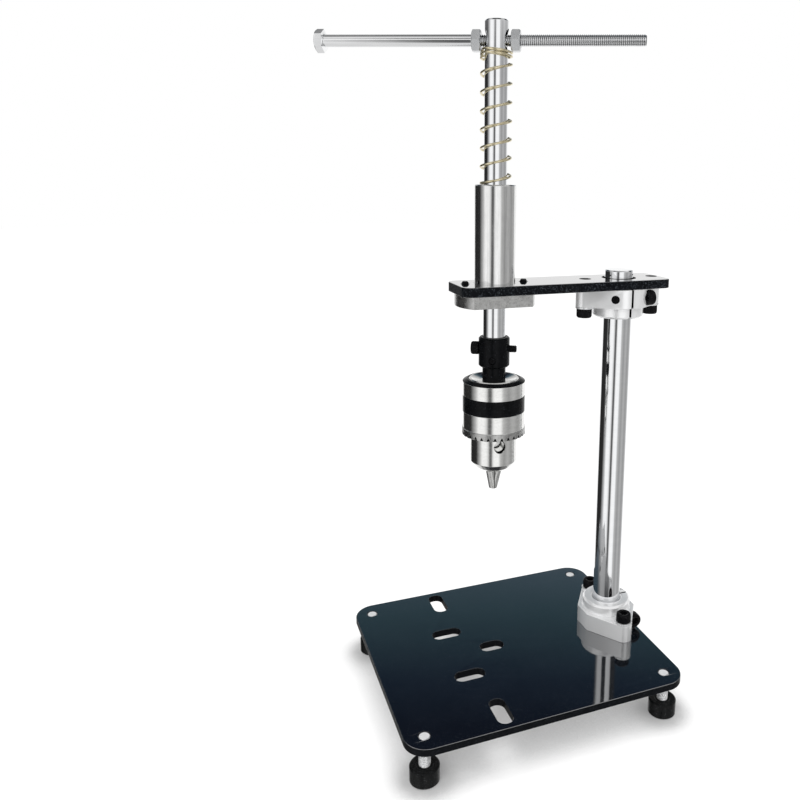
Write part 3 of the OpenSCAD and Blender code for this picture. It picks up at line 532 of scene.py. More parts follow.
# The plates' walls get darker, barely reflecting copies of the plate black: painted shade.
PLATE_WALL_PAINTED_SHADE = finish("plate_wall_painted_shade", (0.0015, 0.002, 0.003), (0.005, 0.006, 0.008), (0.25, 0.45), 0.0,
                    fine=1500, coarse=250, bump=0.3, bump_size=0.02,
                    speck=(2600, 0.66, (0.03, 0.034, 0.04)), Specular_IOR_Level=0.06)
ARM_WALL_PAINTED_SHADE = finish("arm_wall_painted_shade", (0.0015, 0.002, 0.003), (0.006, 0.007, 0.009), (0.3, 0.5), 0.0,
                  fine=1300, coarse=300, bump=0.5, bump_size=0.04,
                  speck=(1900, 0.62, (0.065, 0.075, 0.087)), Specular_IOR_Level=0.06)
ALUMINIUM = finish("clamp_aluminium", (0.93, 0.935, 0.94), (0.98, 0.985, 0.99), (0.14, 0.26), 0.42,
                   fine=2500, coarse=160, bump=0.3, bump_size=0.03)
# The studs' upper ends get a lighter, more matte copy of the zinc: a painted highlight.
STUD_END_HIGHLIGHT = finish("stud_end_highlight", (0.90, 0.905, 0.91), (0.97, 0.975, 0.98), (0.30, 0.45), 0.3,
                  fine=1500, coarse=500, bump=0.3, bump_size=0.04)
BLACK_OXIDE = finish("screw_black", (0.002, 0.002, 0.0025), (0.007, 0.007, 0.008), (0.16, 0.34), 0.0,
                     fine=1800, coarse=300, bump=0.2, bump_size=0.02,
                     speck=(2600, 0.72, (0.10, 0.10, 0.11)), Specular_IOR_Level=0.10)
RUBBER = finish("pad_rubber", (0.002, 0.0023, 0.0023), (0.007, 0.0075, 0.008), (0.2, 0.4), 0.0,
                fine=(2200, 2200, 700), coarse=200, bump=0.4, bump_size=0.03,
                speck=(1800, 0.66, (0.05, 0.052, 0.053)), Specular_IOR_Level=0.12)
SEAL = finish("seal_rubber", (0.01, 0.01, 0.01), (0.025, 0.025, 0.025), (0.5, 0.7), 0.0, bump=0.2)
ZINC = finish("stud_zinc", (0.82, 0.83, 0.84), (0.95, 0.955, 0.96), (0.18, 0.34), 0.6,
              fine=1500, coarse=260, bump=0.25, bump_size=0.03)
COLUMN_CHROME, SPINDLE_CHROME = [
    finish("rod_chrome_" + key, (0.86, 0.87, 0.885), (0.94, 0.945, 0.955), (0.04, 0.10), axis=(x, 0, 0),
           fine=(1400, 1400, 60), coarse=(60, 60, 400), bump=0.08, bump_size=0.006)
    for key, x in (("column", COLUMN_X), ("spindle", SPINDLE_X))]
GUIDE = finish("guide_steel", (0.74, 0.74, 0.735), (0.93, 0.93, 0.925), (0.09, 0.17), axis=ON_SPINDLE,
               fine=(1500, 1500, 45), coarse=(500, 500, 220), bump=0.2, bump_size=0.010, coarse_share=0.35)
FLANGE = finish("guide_flange", (0.50, 0.50, 0.49), (0.76, 0.76, 0.75), (0.22, 0.38), axis=ON_SPINDLE,
                fine=900, coarse=300, bump=0.35, bump_size=0.03)
RESIN = finish("retainer_resin", (0.62, 0.55, 0.38), (0.74, 0.67, 0.5), (0.35, 0.5), 0.0)
BALL = finish("ball_steel", (0.8, 0.81, 0.82), (0.88, 0.89, 0.9), (0.03, 0.08))
WIRE = finish("spring_wire", (0.58, 0.50, 0.31), (0.90, 0.82, 0.60), (0.07, 0.16),
              fine=1200, coarse=240, bump=0.15, bump_size=0.01)
# The handle bolt's thread grooves get a dark tint: painted shade.
HANDLE = finish("handle_zinc", (0.86, 0.865, 0.875), (0.97, 0.975, 0.98), (0.06, 0.15),
                axis=(SPINDLE_X, 0, HANDLE_Z), turn=HANDLE_TURN, fine=(60, 1600, 1600), coarse=(90, 300, 300),
                bump=0.15, bump_size=0.012, groove_shade=(2.42, 2.80, (0.20, 0.205, 0.21)))
# Painted shade for holes, slits, gaps between teeth and bolts' ends inside holes: near black, without
# reflection.
PAINTED_SHADE = finish("painted_shade_steel", (0.002, 0.0022, 0.0025), (0.010, 0.010, 0.011), (0.6, 0.8), 0.0,
                fine=1500, coarse=300, bump=0.2, Specular_IOR_Level=0.0)
NUT = finish("nut_zinc", (0.60, 0.61, 0.62), (0.74, 0.75, 0.76), (0.22, 0.32),
             fine=1400, coarse=200, bump=0.15, bump_size=0.02)
ADAPTER = finish("adapter_black", (0.0015, 0.0017, 0.002), (0.006, 0.0065, 0.0075), (0.14, 0.28), 0.0,
                 axis=ON_SPINDLE, fine=(500, 500, 2200), coarse=260, bump=0.2, bump_size=0.015,
                 speck=(2200, 0.70, (0.05, 0.052, 0.065)), Specular_IOR_Level=0.07)
CHUCK = finish("chuck_steel", (0.80, 0.80, 0.785), (0.95, 0.95, 0.935), (0.11, 0.19), axis=ON_SPINDLE,
               fine=(700, 700, 2600), coarse=(130, 130, 600), bump=0.1, bump_size=0.008)
RIM = finish("rim_steel", (0.34, 0.34, 0.335), (0.66, 0.66, 0.65), (0.22, 0.36), axis=ON_SPINDLE,
             fine=1500, coarse=500, bump=0.4, bump_size=0.03)
# The jaws get a dark tint where they meet: painted shade.
JAW = finish("jaw_steel", (0.50, 0.50, 0.49), (0.74, 0.74, 0.725), (0.2, 0.34), axis=ON_SPINDLE,
             turn=JAW_TURN + 60, fine=(1500, 1500, 900), coarse=350, bump=0.25, bump_size=0.02,
             seam_shade=(0.10, 0.32, (0.01, 0.01, 0.01)))


# Base plate and arm plate
def is_wall(at, normal):
    """The walls of a plate and of its holes, which get painted shade."""
    return abs(normal.z) < UPRIGHT


def in_bolt_hole(at, normal):
    """The walls of the arm's bolt holes with their countersinks, which get painted shade."""
    sink_r = sum(BOLT_SINK)
    near = Vector((abs(at.x - COLUMN_X) - BOLT_X, at.y)).length < sink_r + 0.4
    return near and abs(normal.z) < 0.95


def arm_sinks(size, places):
    """Tools for countersinks of 45 degrees in the arm. Their size is the radius at a depth."""
    r, depth = size
    over = 1
    bottom, top = ARM_TOP - depth, ARM_TOP + over
    tool = [polar([(0, bottom), (r, bottom), (r + top - bottom, top), (0, top)], 48)]
    return [moved(tool, T(x)) for x in places]


slots = [slot_outline(END_SLOT_X, y, END_SLOT_L, True) for y in (-END_SLOT_Y, END_SLOT_Y)]
slots += [slot_outline(SIDE_SLOT_X, y, SIDE_SLOT_L, False) for y in (-SIDE_SLOT_Y, SIDE_SLOT_Y)]
slots.append(slot_outline(SPINDLE_X, 0, CHUCK_SLOT_L, False))
stud_holes = [circle(x, y, STUD_R + FIT) for x in (-FOOT_X, FOOT_X) for y in (-FOOT_Y, FOOT_Y)]
bolt_holes = [circle(COLUMN_X, y, BOLT_R + FIT, 32) for y in (-BOLT_X, BOLT_X)]
plate_outline = box_outline(-BASE_W / 2, -BASE_D / 2, BASE_W / 2, BASE_D / 2, BASE_R, 24)
plate = [prism(plate_outline, slots + stud_holes + bolt_holes, edges(BASE_Z, BASE_TOP, EDGE))]
piece("base_plate_dressed", plate, PLATE, "base", ["base_plate"],
      others=[(PLATE_WALL_PAINTED_SHADE, is_wall)])

bolt_places = [COLUMN_X - BOLT_X, COLUMN_X + BOLT_X]
screw_places = [SPINDLE_X - SCREW_X, SPINDLE_X + SCREW_X]
arm_holes = [circle(COLUMN_X, 0, ARM_BORE, 64), circle(SPINDLE_X, 0, GUIDE_R + FIT, 64)]
arm_holes += [circle(x, 0, BOLT_R + FIT, 32) for x in bolt_places]
arm_holes += [circle(x, 0, SCREW_R + FIT, 32) for x in screw_places]
arm_outline = box_outline(ARM_LEFT, -ARM_HALF, ARM_RIGHT, ARM_HALF, ARM_R, 12)
piece("arm_plate_dressed", [prism(arm_outline, arm_holes, edges(ARM_Z, ARM_TOP, EDGE))],
      PLATE, "arm", ["arm_plate"], others=[(ARM_WALL_PAINTED_SHADE, is_wall), (PAINTED_SHADE, in_bolt_hole)],
      cuts=arm_sinks(SCREW_SINK, screw_places) + arm_sinks(BOLT_SINK, bolt_places))


# Column and spindle
def cross_hole(r, reach, seg=48):
    """A tool for a round hole, reaching as far both ways."""
    return [cylinder(r, -reach, reach, seg)]


piece("column_dressed", [rod(COLUMN_R, BASE_TOP, COLUMN_TOP, 0.6, (0.25, 0.25), 160)],
      COLUMN_CHROME, "column", ["column"], AT_COLUMN)

# The handle's hole with its two countersinks is one spool-shaped tool.
to_handle = along_handle(0, HANDLE_Z)
to_cross = along_handle(0, CROSS_Z)
from_handle = (AT_SPINDLE @ to_handle).inverted()
spool_end = 8
spool_r = SINK_R + spool_end - SPINDLE_R
spool = [polar([(0, -spool_end), (spool_r, -spool_end), (HANDLE_R + FIT, SINK_DEPTH - SPINDLE_R),
                (HANDLE_R + FIT, SPINDLE_R - SINK_DEPTH), (spool_r, spool_end), (0, spool_end)], 64)]


def in_handle_sink(at, normal):
    """The walls of the spindle's handle hole and its countersinks, which get painted shade."""
    p = from_handle @ at
    return p.xy.length < SINK_R + 0.3 and (from_handle.to_3x3() @ normal).xy.dot(p.xy) < -0.2


piece("spindle_dressed", [rod(SPINDLE_R, SEAT_Z, SPINDLE_TOP, ROD_CHAMFER, (0.2, 0.3), 144)],
      SPINDLE_CHROME, "spindle", ["spindle"], AT_SPINDLE, others=[(PAINTED_SHADE, in_handle_sink)],
      cuts=[moved(spool, to_handle), moved(cross_hole(CROSS_R + FIT, CROSS_REACH), to_cross)])


# Clamps
def clamp_outlines():
    """Outlines of the clamp's flange and collar, each open at the slit, with the bore inside.

    The third value is the angle of the line square to a slanted side.
    """
    bore, slit = COLUMN_R + FIT, SLIT / 2
    d = Vector((CLAMP_FLAT - LOBE_X, CLAMP_HALF))
    a = atan2(d.y, d.x) - atan2(sqrt(d.length ** 2 - LOBE_R ** 2), LOBE_R)
    turns = [a * (k / 10 - 1) for k in range(21)]
    lobe = [(LOBE_X + LOBE_R * cos(b), LOBE_R * sin(b), 1) for b in turns]
    right = [(slit, -CLAMP_HALF, 1), (CLAMP_FLAT, -CLAMP_HALF, 1)] + lobe + [(CLAMP_FLAT, CLAMP_HALF, 1)]
    outer = right + [(-x, y, 1) for x, y, _ in reversed(right)]

    def open_ring(r, steps, way, share):
        """A ring open at the slit, run one way or the other, with the given outward share."""
        first = atan2(slit, sqrt(r ** 2 - slit ** 2))
        turns = [way * (first + (2 * pi - 2 * first) * k / steps) for k in range(steps + 1)]
        return [(r * sin(b), -r * cos(b), share) for b in turns]

    inner = open_ring(bore, 60, -1, 0)
    return outer + inner, open_ring(COLLAR_R, 90, 1, 1) + inner, a


flange_outline, collar_outline, slant_angle = clamp_outlines()
flange_holes = [circle(x, 0, BOLT_R + FIT, 32) for x in (-BOLT_X, BOLT_X)]
flange = [prism(flange_outline, flange_holes, edges(0, FLANGE_T, EDGE))]
collar = [prism(collar_outline, [], [(FLANGE_T - 1, 0.1), (FLANGE_T, 0.5), (FLANGE_T + 0.15, 0.25),
                                     (FLANGE_T + 0.4, 0.06), (FLANGE_T + 0.8, 0), (CLAMP_H - 1.3, 0),
                                     (CLAMP_H - 1.05, -0.06), (CLAMP_H - 0.2, -0.95), (CLAMP_H, -1.25)])]
pinch = T(0, PINCH_Y, FLANGE_T / 2) @ R("Y", 90)
pinch_hole = moved([cylinder(BOLT_R + FIT, -7.5, THROUGH, 40)], pinch)
pinch_seat = moved([cylinder(PINCH_SEAT_R, PINCH_SEAT, THROUGH)], pinch)
# The set screw's hole runs square to a slanted side, down to the clamping screw's end.
set_bottom = (PINCH_L - PINCH_SEAT + 0.1 + SET_R * sin(slant_angle)) / cos(slant_angle)
across_slant = Matrix.Rotation(slant_angle + pi, 4, "Z")
on_set_axis = T(0, 0, FLANGE_T / 2) @ across_slant @ R("Y", 90) @ T(0, 0, set_bottom)
set_hole = moved([cylinder(SET_R, 0, SET_HOLE_L)], on_set_axis)


def in_clamp(where):
    """The test for faces inside a clamp's slit and holes, which get painted shade."""
    back = where.inverted()

    def test(at, normal):
        p, n = back @ at, (back.to_3x3() @ normal).normalized()
        q = on_set_axis.inverted() @ p
        in_slit = abs(p.x) < SLIT / 2 + 0.05 and p.y < 0
        in_pinch = Vector((p.y - PINCH_Y, p.z - FLANGE_T / 2)).length < BOLT_R + 0.5 and abs(n.x) < 0.5
        in_set_hole = q.xy.length < SET_R + 0.1 and -0.1 < q.z < SET_L + 1.2
        return in_slit or in_pinch or in_set_hole
    return test


def on_bolt_end(at, normal):
    """The ends of the arm's bolts, inside its holes, which get painted shade."""
    return at.z > ARM_Z + 2 and normal.z > 0.3


washer_top = FLANGE_T + WASHER_T
washer = [lathe([(WASHER_BORE, FLANGE_T), (WASHER_R, FLANGE_T, 0.15), (WASHER_R, washer_top, 0.25),
                 (WASHER_BORE, washer_top, 0.1)], 64, True)]
washers = moved(washer, T(-BOLT_X)) + moved(washer, T(BOLT_X))
set_screws = moved(set_screw(SET_R - FIT, SET_L, SET_SOCKET, SET_MOUTH), on_set_axis)
pinch_screw = moved(cap_screw(M5, PINCH_L, PINCH_THREAD), T(PINCH_SEAT) @ pinch)
for body, where, grip in (("base", LOWER_CLAMP, BASE_GRIP), ("arm", UPPER_CLAMP, ARM_GRIP)):
    name = body + "_clamp"
    piece(name + "_dressed", flange, ALUMINIUM, body, [name], where,
          joins=[collar], cuts=[pinch_hole, pinch_seat, set_hole], others=[(PAINTED_SHADE, in_clamp(where))])
    bolt = cap_screw(M5, washer_top + grip, THREAD_L)
    bolts = moved(bolt, T(-BOLT_X, 0, washer_top)) + moved(bolt, T(BOLT_X, 0, washer_top))
    piece(name + "_bolts_dressed", set_screws + bolts, BLACK_OXIDE, body, [name + "_bolts"],
          where, others=[(PAINTED_SHADE, on_bolt_end)])
    piece(name + "_washers", washers, ZINC, body, (), where)
    piece(name + "_screw_dressed", pinch_screw, BLACK_OXIDE, body + "_screw", [name + "_screw"],
          where)


# Feet
def on_stud_end(at, normal):
    """The studs' upper ends, flush with the base plate, which get a painted highlight."""
    return at.z > BASE_TOP - 0.2 and normal.z > 0.3


pad = [lathe([(0, 0), (PAD_R - PAD_ROUND, 0, 0.4), (PAD_R, PAD_ROUND, 0.4), (PAD_R, PAD_H - PAD_ROUND, 0.5),
              (PAD_R - PAD_ROUND, PAD_H, 0.4), (4.6, PAD_H, 0.2), (4.2, PAD_H - 0.3, 0.1),
              (STUD_R, PAD_H - 0.3), (STUD_R, STUD_Z), (0, STUD_Z)])]
stud_thread = thread_rings(STUD_R, COARSE_PITCH, COARSE_DEPTH, STUD_Z, BASE_TOP, 0.5)
stud = [polar([(0, STUD_Z), (2.4, STUD_Z)] + stud_thread + [(2.45, BASE_TOP), (0, BASE_TOP)], 36)]
for tag, sx, sy in (("fl", -1, -1), ("fr", 1, -1), ("bl", -1, 1), ("br", 1, 1)):
    where = T(sx * FOOT_X, sy * FOOT_Y)
    piece("foot_pad_%s_dressed" % tag, pad, RUBBER, "foot_" + tag, ["foot_pad_" + tag], where)
    piece("foot_stud_%s_dressed" % tag, stud, ZINC, "foot_" + tag, ["foot_stud_" + tag], where,
          others=[(STUD_END_HIGHLIGHT, on_stud_end)])

# Ball guide
guide = [(GUIDE_BORE, GUIDE_Z, 0.2), (GUIDE_R - GUIDE_CHAMFER, GUIDE_Z, 0.2),
         (GUIDE_R, GUIDE_Z + GUIDE_CHAMFER, 0.2), (GUIDE_R, GUIDE_TOP - GUIDE_CHAMFER, 0.25),
         (GUIDE_R - GUIDE_CHAMFER, GUIDE_TOP, 0.2), (GUIDE_BORE, GUIDE_TOP, 0.25)]
piece("guide_sleeve_dressed", [lathe(guide, 144, True)],
      GUIDE, "arm", ["guide_sleeve"], AT_SPINDLE)
corner_turn = atan2(GUIDE_HALF, sqrt(GUIDE_FLANGE_R ** 2 - GUIDE_HALF ** 2))
end_turns = [corner_turn * (k / 12 - 1) for k in range(25)]
right_end = [(GUIDE_FLANGE_R * cos(a), GUIDE_FLANGE_R * sin(a)) for a in end_turns]
guide_outline = right_end + [(-x, -y) for x, y in right_end]
bore_z, bore_top = GUIDE_Z - 2.5, ARM_Z + 3
counterbore = [polar([(0, bore_z), (COUNTERBORE_R, bore_z), (COUNTERBORE_R, SCREW_SEAT),
                      (SCREW_R + FIT, SCREW_SEAT), (SCREW_R + FIT, bore_top), (0, bore_top)], 40)]
piece("guide_flange_dressed",
      [prism(guide_outline, [circle(0, 0, GUIDE_R - 0.05, 96)], edges(GUIDE_Z, ARM_Z - 0.01, 0.4))],
      FLANGE, "arm", (), AT_SPINDLE,
      cuts=[moved(counterbore, T(x)) for x in (-SCREW_X, SCREW_X)])
guide_screws = []
for x in (-SCREW_X, SCREW_X):
    guide_screws += moved(cap_screw(M4, ARM_TOP + SCREW_OUT - SCREW_SEAT, THREAD_L, 0.5),
                          T(x, 0, SCREW_SEAT) @ mirror(z=-1))
piece("guide_screws_dressed", guide_screws, BLACK_OXIDE, "arm", ["guide_screws"], AT_SPINDLE)

# Return spring
TURNS_LOW, TURNS_OPEN, TURNS_TOP = 0.25, 6.65, 1.7
CLOSED_PITCH, SPRING_TURN, COIL_STEPS = 1.7, 115, 48
TOP_RISE, RISEN_TURNS, WIRE_TAIL, FEED = 2.3, 1.6, 1.2, 50
# Degrees from the left nut to the rise's start and end, and over which it climbs and sinks
RISE_START, RISE_END, CLIMB, SINK = 12, 168, 31, 125
total_turns = TURNS_LOW + TURNS_OPEN + TURNS_TOP
rise_open = SPRING_L - 2 * WIRE_R - (TURNS_LOW + TURNS_TOP) * CLOSED_PITCH


def closed_and_open(n):
    """Height of the wire's middle after n turns, without easing or risen turns."""
    if n < TURNS_LOW:
        return n * CLOSED_PITCH
    if n < TURNS_LOW + TURNS_OPEN:
        return TURNS_LOW * CLOSED_PITCH + (n - TURNS_LOW) * rise_open / TURNS_OPEN
    return rise_open + (n - TURNS_OPEN) * CLOSED_PITCH


def top_lift(n):
    """Rise of the last turns in front, between the handle's nuts.

    It is steep beside the left nut and sinks slowly towards the right one.
    """
    t = (SPRING_TURN + 360 * n - HANDLE_TURN - 180) % 360
    up, down = (t - RISE_START) / CLIMB, (RISE_END - t) / SINK
    if n < total_turns - RISEN_TURNS or min(up, down) <= 0:
        return 0
    if up < 1.2:
        return TOP_RISE * sin(pi / 2 * min(1, up)) ** 2 * min(1, down)
    return TOP_RISE * min(up, down)


def coil_height(n):
    """Height of the wire's middle after n turns, with the changes of pitch eased."""
    ease = 0.12
    if n < ease or n > total_turns - ease:
        return closed_and_open(n) + top_lift(n)
    return sum(closed_and_open(n + ease * k / 4) for k in range(-4, 5)) / 9 + top_lift(n)


coil = []
coil_steps = round(total_turns * COIL_STEPS)
for i in range(coil_steps + 1):
    n = total_turns * i / coil_steps
    a = radians(SPRING_TURN) + 2 * pi * n
    coil.append(Vector((SPRING_R * cos(a), SPRING_R * sin(a), coil_height(n))))
a = radians(SPRING_TURN)
coil.insert(0, coil[0] - WIRE_TAIL * Vector((-sin(a), cos(a), 0)))
a += 2 * pi * total_turns
coil.append(coil[-1] + WIRE_TAIL * Vector((-sin(a), cos(a), 0)))
spring = piece("return_spring_dressed", [wire(coil, WIRE_R)],
               WIRE, "spring", ["return_spring"], T(SPINDLE_X, 0, GUIDE_TOP + WIRE_R))
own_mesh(spring)

# Handle, with z = 0 on the spindle's axis
on_handle = along_handle(SPINDLE_X, HANDLE_Z)
head_z = -HANDLE_LEFT - HEAD_T
head = [(r, head_z + z) for r, z in hex_rings(HEX_W, HEAD_T, True, False)]
shank = [(HANDLE_R + 0.4, -HANDLE_LEFT), (HANDLE_R, 0.3 - HANDLE_LEFT), (HANDLE_R, NUT_LEFT - 0.4),
         (HANDLE_R - 0.5, NUT_LEFT + 0.1)]
threads = thread_rings(HANDLE_R - 0.02, COARSE_PITCH, COARSE_DEPTH, NUT_LEFT + 0.3, HANDLE_RIGHT, 0.7)
point = [(HANDLE_R - 0.75, HANDLE_RIGHT), (0, HANDLE_RIGHT)]
piece("handle_bolt_dressed", [polar([(0, head_z)] + head + shank + threads + point, 72)],
      HANDLE, "spindle", ["handle_bolt"], on_handle, sharp=50)
nut_bore = [(3.35, NUT_T), (2.95, NUT_T - 0.3), (2.95, 0.3), (3.35, 0)]
nut = [polar(hex_rings(HEX_W, NUT_T, True, True) + nut_bore, 72, True)]
nuts = moved(nut, T(0, 0, NUT_LEFT) @ R("Z", 30)) + moved(nut, T(0, 0, NUT_RIGHT) @ R("Z", 30))
piece("handle_nuts_dressed", nuts, NUT, "spindle", ["handle_nuts"], on_handle)

# Chuck adapter
adapter = [lathe([(0, SEAT_Z), (SPINDLE_R + FIT, SEAT_Z), (SPINDLE_R + FIT, ADAPTER_TOP - 0.4, 0.1),
                  (SPINDLE_R + 0.5, ADAPTER_TOP, 0.1), (ADAPTER_R - ADAPTER_CHAMFER, ADAPTER_TOP, 0.15),
                  (ADAPTER_R, ADAPTER_TOP - ADAPTER_CHAMFER, 0.15),
                  (ADAPTER_R, ADAPTER_Z + ADAPTER_CHAMFER, 0.15),
                  (ADAPTER_R - ADAPTER_CHAMFER, ADAPTER_Z, 0.15), (NECK_R, ADAPTER_Z, 0.3),
                  (NECK_R, NECK_Z + 0.1, 0.1), (NECK_R - 0.3, NECK_Z), (NECK_R - 0.6, NECK_Z - PLUG_L),
                  (0, NECK_Z - PLUG_L)], 128)]
to_grub = T(0, 0, GRUB_Z) @ R("Z", HANDLE_TURN) @ T(0, GRUB_TOOL_Y, 0) @ R("X", 90)
piece("adapter_dressed", adapter, ADAPTER, "spindle", ["adapter"], AT_SPINDLE,
      cuts=[moved(cross_hole(CROSS_R + FIT, CROSS_REACH, 32), to_cross),
            moved(cross_hole(GRUB_HOLE_R, GRUB_TOOL_REACH, 32), to_grub)])
cross_bolt = cap_screw(M4, ADAPTER_R + CROSS_REACH, 6)
piece("adapter_bolt_dressed", moved(cross_bolt, T(0, 0, -ADAPTER_R) @ R("X", 180)),
      BLACK_OXIDE, "spindle", ["adapter_bolt"], along_handle(SPINDLE_X, CROSS_Z))
piece("adapter_grub_dressed", set_screw(GRUB_R, GRUB_L, GRUB_SOCKET, GRUB_MOUTH),
      BLACK_OXIDE, "spindle", ["adapter_grub"],
      T(SPINDLE_X) @ R("Z", HANDLE_TURN) @ T(0, -SPINDLE_R - FIT, GRUB_Z) @ R("X", 90))

# Chuck
chuck_body = [lathe([(0, NOSE_Z), (CONE_R, NOSE_Z, 0.3), (9.7, NOSE_Z + 2.2, 1.5), (NOSE_R, CONE_TOP, 0.6),
                     (NOSE_R, SLEEVE_Z + 0.5), (NOSE_R, NUT_SEAT_Z), (BODY_R, NUT_SEAT_Z + 2),
                     (BODY_R, BODY_TOP - 0.4, 0.15),
                     (BODY_R - 0.4, BODY_TOP, 0.15), (BODY_R - 1, BODY_TOP, 0.3), (NECK_R + 1, NECK_Z, 0.6),
                     (0, NECK_Z)], 192)]
# A key hole's tool has a ring between the wall's outer part, dark with painted shade, and its bright inner
# part.
key_hole = [polar([(0, 0), (KEY_R, 0), (KEY_R, KEY_RING), (KEY_R, KEY_DEPTH - 0.3), (KEY_R + 0.3, KEY_DEPTH),
                   (KEY_R + 0.7, 7), (0, 7)], 64)]
jaw_bore = [cylinder(JAW_BORE, -5, THROUGH)]
body_cuts = []
for turn in (0, 120, 240):
    on_jaw_axis = R("Z", JAW_TURN + turn) @ T(TIP_X, 0, TIP_Z) @ R("Y", JAW_ANGLE)
    on_key_axis = R("Z", JAW_TURN + 60 + turn) @ T(NOSE_R - KEY_DEPTH, 0, KEY_Z) @ R("Y", 90)
    body_cuts += [moved(jaw_bore, on_jaw_axis), moved(key_hole, on_key_axis)]
body_cuts.append([cylinder(NOSE_BORE, NOSE_Z - 2, NECK_Z - PLUG_L - 0.7, 64)])


def in_key_hole(at, normal):
    """The walls of the key holes near their rims, which get painted shade."""
    p = at - Vector((SPINDLE_X, 0, KEY_Z))
    r = p.xy.length
    return abs(p.z) < KEY_R + 0.6 and 9.6 < r < NOSE_R - 0.1 and abs(normal.dot(p)) / r < 0.8


piece("chuck_body_dressed", chuck_body, CHUCK, "spindle", ["chuck_body"], AT_SPINDLE,
      cuts=body_cuts, others=[(PAINTED_SHADE, in_key_hole)])


def gap_share(a):
    """How deep a gap between teeth is at an angle: 1 in its middle, 0 on a tooth."""
    pitch = 2 * pi / TEETH
    away = abs((a + pitch / 2) % pitch - pitch / 2) * RIM_R
    return max(0.0, min(1.0, 1.06 - away * 2 / GAP_W * 1.06))


# Wedge-shaped gaps rise from the face's inner edge to GAP_H above the rim's lower edge.
bore = NOSE_R + 0.1
rim_z = SLEEVE_Z + FACE_RISE
lip = rim_z + RIM_H
sleeve_rings = [(bore, SLEEVE_Z), (FACE_R, SLEEVE_Z)]
for u in (0.2, 0.4, 0.6, 0.8, 1.0):
    sleeve_rings.append((FACE_R + (RIM_R - FACE_R) * u - (0.05 if u == 1 else 0),
                         lambda a, u=u: SLEEVE_Z + FACE_RISE * u + GAP_H * u * gap_share(a)))
sleeve_rings += [(RIM_R, lambda a: rim_z + 0.05 + GAP_H * gap_share(a)), (RIM_R, lip)]
sleeve_rings += rounded([
    (RIM_R, lip), (SLEEVE_R + 0.05, lip + 0.35, 0.1), (SLEEVE_R, lip + 0.6, 0.1), (SLEEVE_R, BAND_Z, 0.08),
    (SLEEVE_R - BAND_DEPTH, BAND_Z), (SLEEVE_R - BAND_DEPTH, BAND_TOP), (SLEEVE_R, BAND_TOP, 0.08),
    (SLEEVE_R, SLEEVE_TOP - 1.3, 0.2), (SLEEVE_R - 0.35, SLEEVE_TOP - 1.05, 0.2), (14.3, SLEEVE_TOP, 0.3),
    (BODY_R + 0.1, SLEEVE_TOP), (BODY_R + 0.1, SLEEVE_TOP - 5), (HOLLOW_R, SLEEVE_TOP - 6),
    (HOLLOW_R, HOLLOW_Z), (NUT_SEAT_R, HOLLOW_Z), (NUT_SEAT_R, NUT_SEAT_Z),
    (NUT_SEAT_R - 1, NUT_SEAT_Z - 1), (bore, NUT_SEAT_Z - 1)], False, 3)[1:]


def on_rim(at, normal):
    """The toothed rim and face, rougher than the sleeve above."""
    return at.z < lip + 0.2 and (at - Vector(ON_SPINDLE)).xy.length > FACE_R


def in_gap(at, normal):
    """The gaps between the teeth, seen from below, which get painted shade."""
    p = at - Vector(ON_SPINDLE)
    on_face = SLEEVE_Z + 0.2 < p.z < lip and p.xy.length > FACE_R + 0.4 and normal.z < -0.1
    return on_face and gap_share(atan2(p.y, p.x)) > 0.08


piece("chuck_sleeve_dressed", [polar(sleeve_rings, TEETH * 16, True)],
      CHUCK, "chuck_sleeve", ["chuck_sleeve"], AT_SPINDLE,
      others=[(RIM, on_rim), (PAINTED_SHADE, in_gap)])
middle_band = [(SLEEVE_R - 0.3, BAND_Z + BAND_FIT), (SLEEVE_R - 0.06, BAND_Z + BAND_FIT, 0.05),
               (SLEEVE_R - 0.06, BAND_TOP - BAND_FIT, 0.05), (SLEEVE_R - 0.3, BAND_TOP - BAND_FIT)]
top_band = [(SLEEVE_R - 0.6, SLEEVE_TOP - 1.4), (SLEEVE_R + 0.01, SLEEVE_TOP - 1.25, 0.05),
            (SLEEVE_R - 0.3, SLEEVE_TOP - 0.95, 0.2), (14.35, SLEEVE_TOP + 0.1, 0.3),
            (BODY_R + 0.15, SLEEVE_TOP + 0.05), (BODY_R + 0.15, SLEEVE_TOP - 0.3)]
piece("chuck_black_bands", [lathe(middle_band, 192, True), lathe(top_band, 192, True)],
      ADAPTER, "chuck_sleeve", (), AT_SPINDLE)

# CAD nodes that stay
for node, material in (("guide_retainer", RESIN), ("guide_balls", BALL), ("guide_seals", SEAL),
                       ("guide_end_rings", FLANGE), ("chuck_nut", CHUCK),
                       ("jaw_1", JAW), ("jaw_2", JAW), ("jaw_3", JAW)):
    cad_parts[node].material_slots[0].material = material

# Floor: the camera sees it almost white, darker close to the machine: a real shadow in its dim
# diffuse part, and a painted shadow where ambient occlusion dims its glow. Mirrors don't see it,
# and other light meets a plain white floor.
FLOOR_R, FLOOR_SIDES = 4, 96
SHADE_REACH, OPEN_RANGE, GLOW_RANGE = 0.022, (0.81, 0.96), (0.14, 0.64)
floor_mesh = bpy.data.meshes.new("floor")
floor_points = [(x, y, 0) for x, y in circle(0, 0, FLOOR_R, FLOOR_SIDES)]
floor_mesh.from_pydata(floor_points, [], [list(range(FLOOR_SIDES))])
linked("floor", floor_mesh)
paint = bpy.data.materials.new("floor_white")
graph = Graph(paint, clear=True)
ray = graph.node("LightPath", {})
matte = graph.node("BsdfDiffuse", {"Color": (0.85, 0.85, 0.85)})[0]
dim = graph.node("BsdfDiffuse", {"Color": (0.55, 0.55, 0.55)})[0]
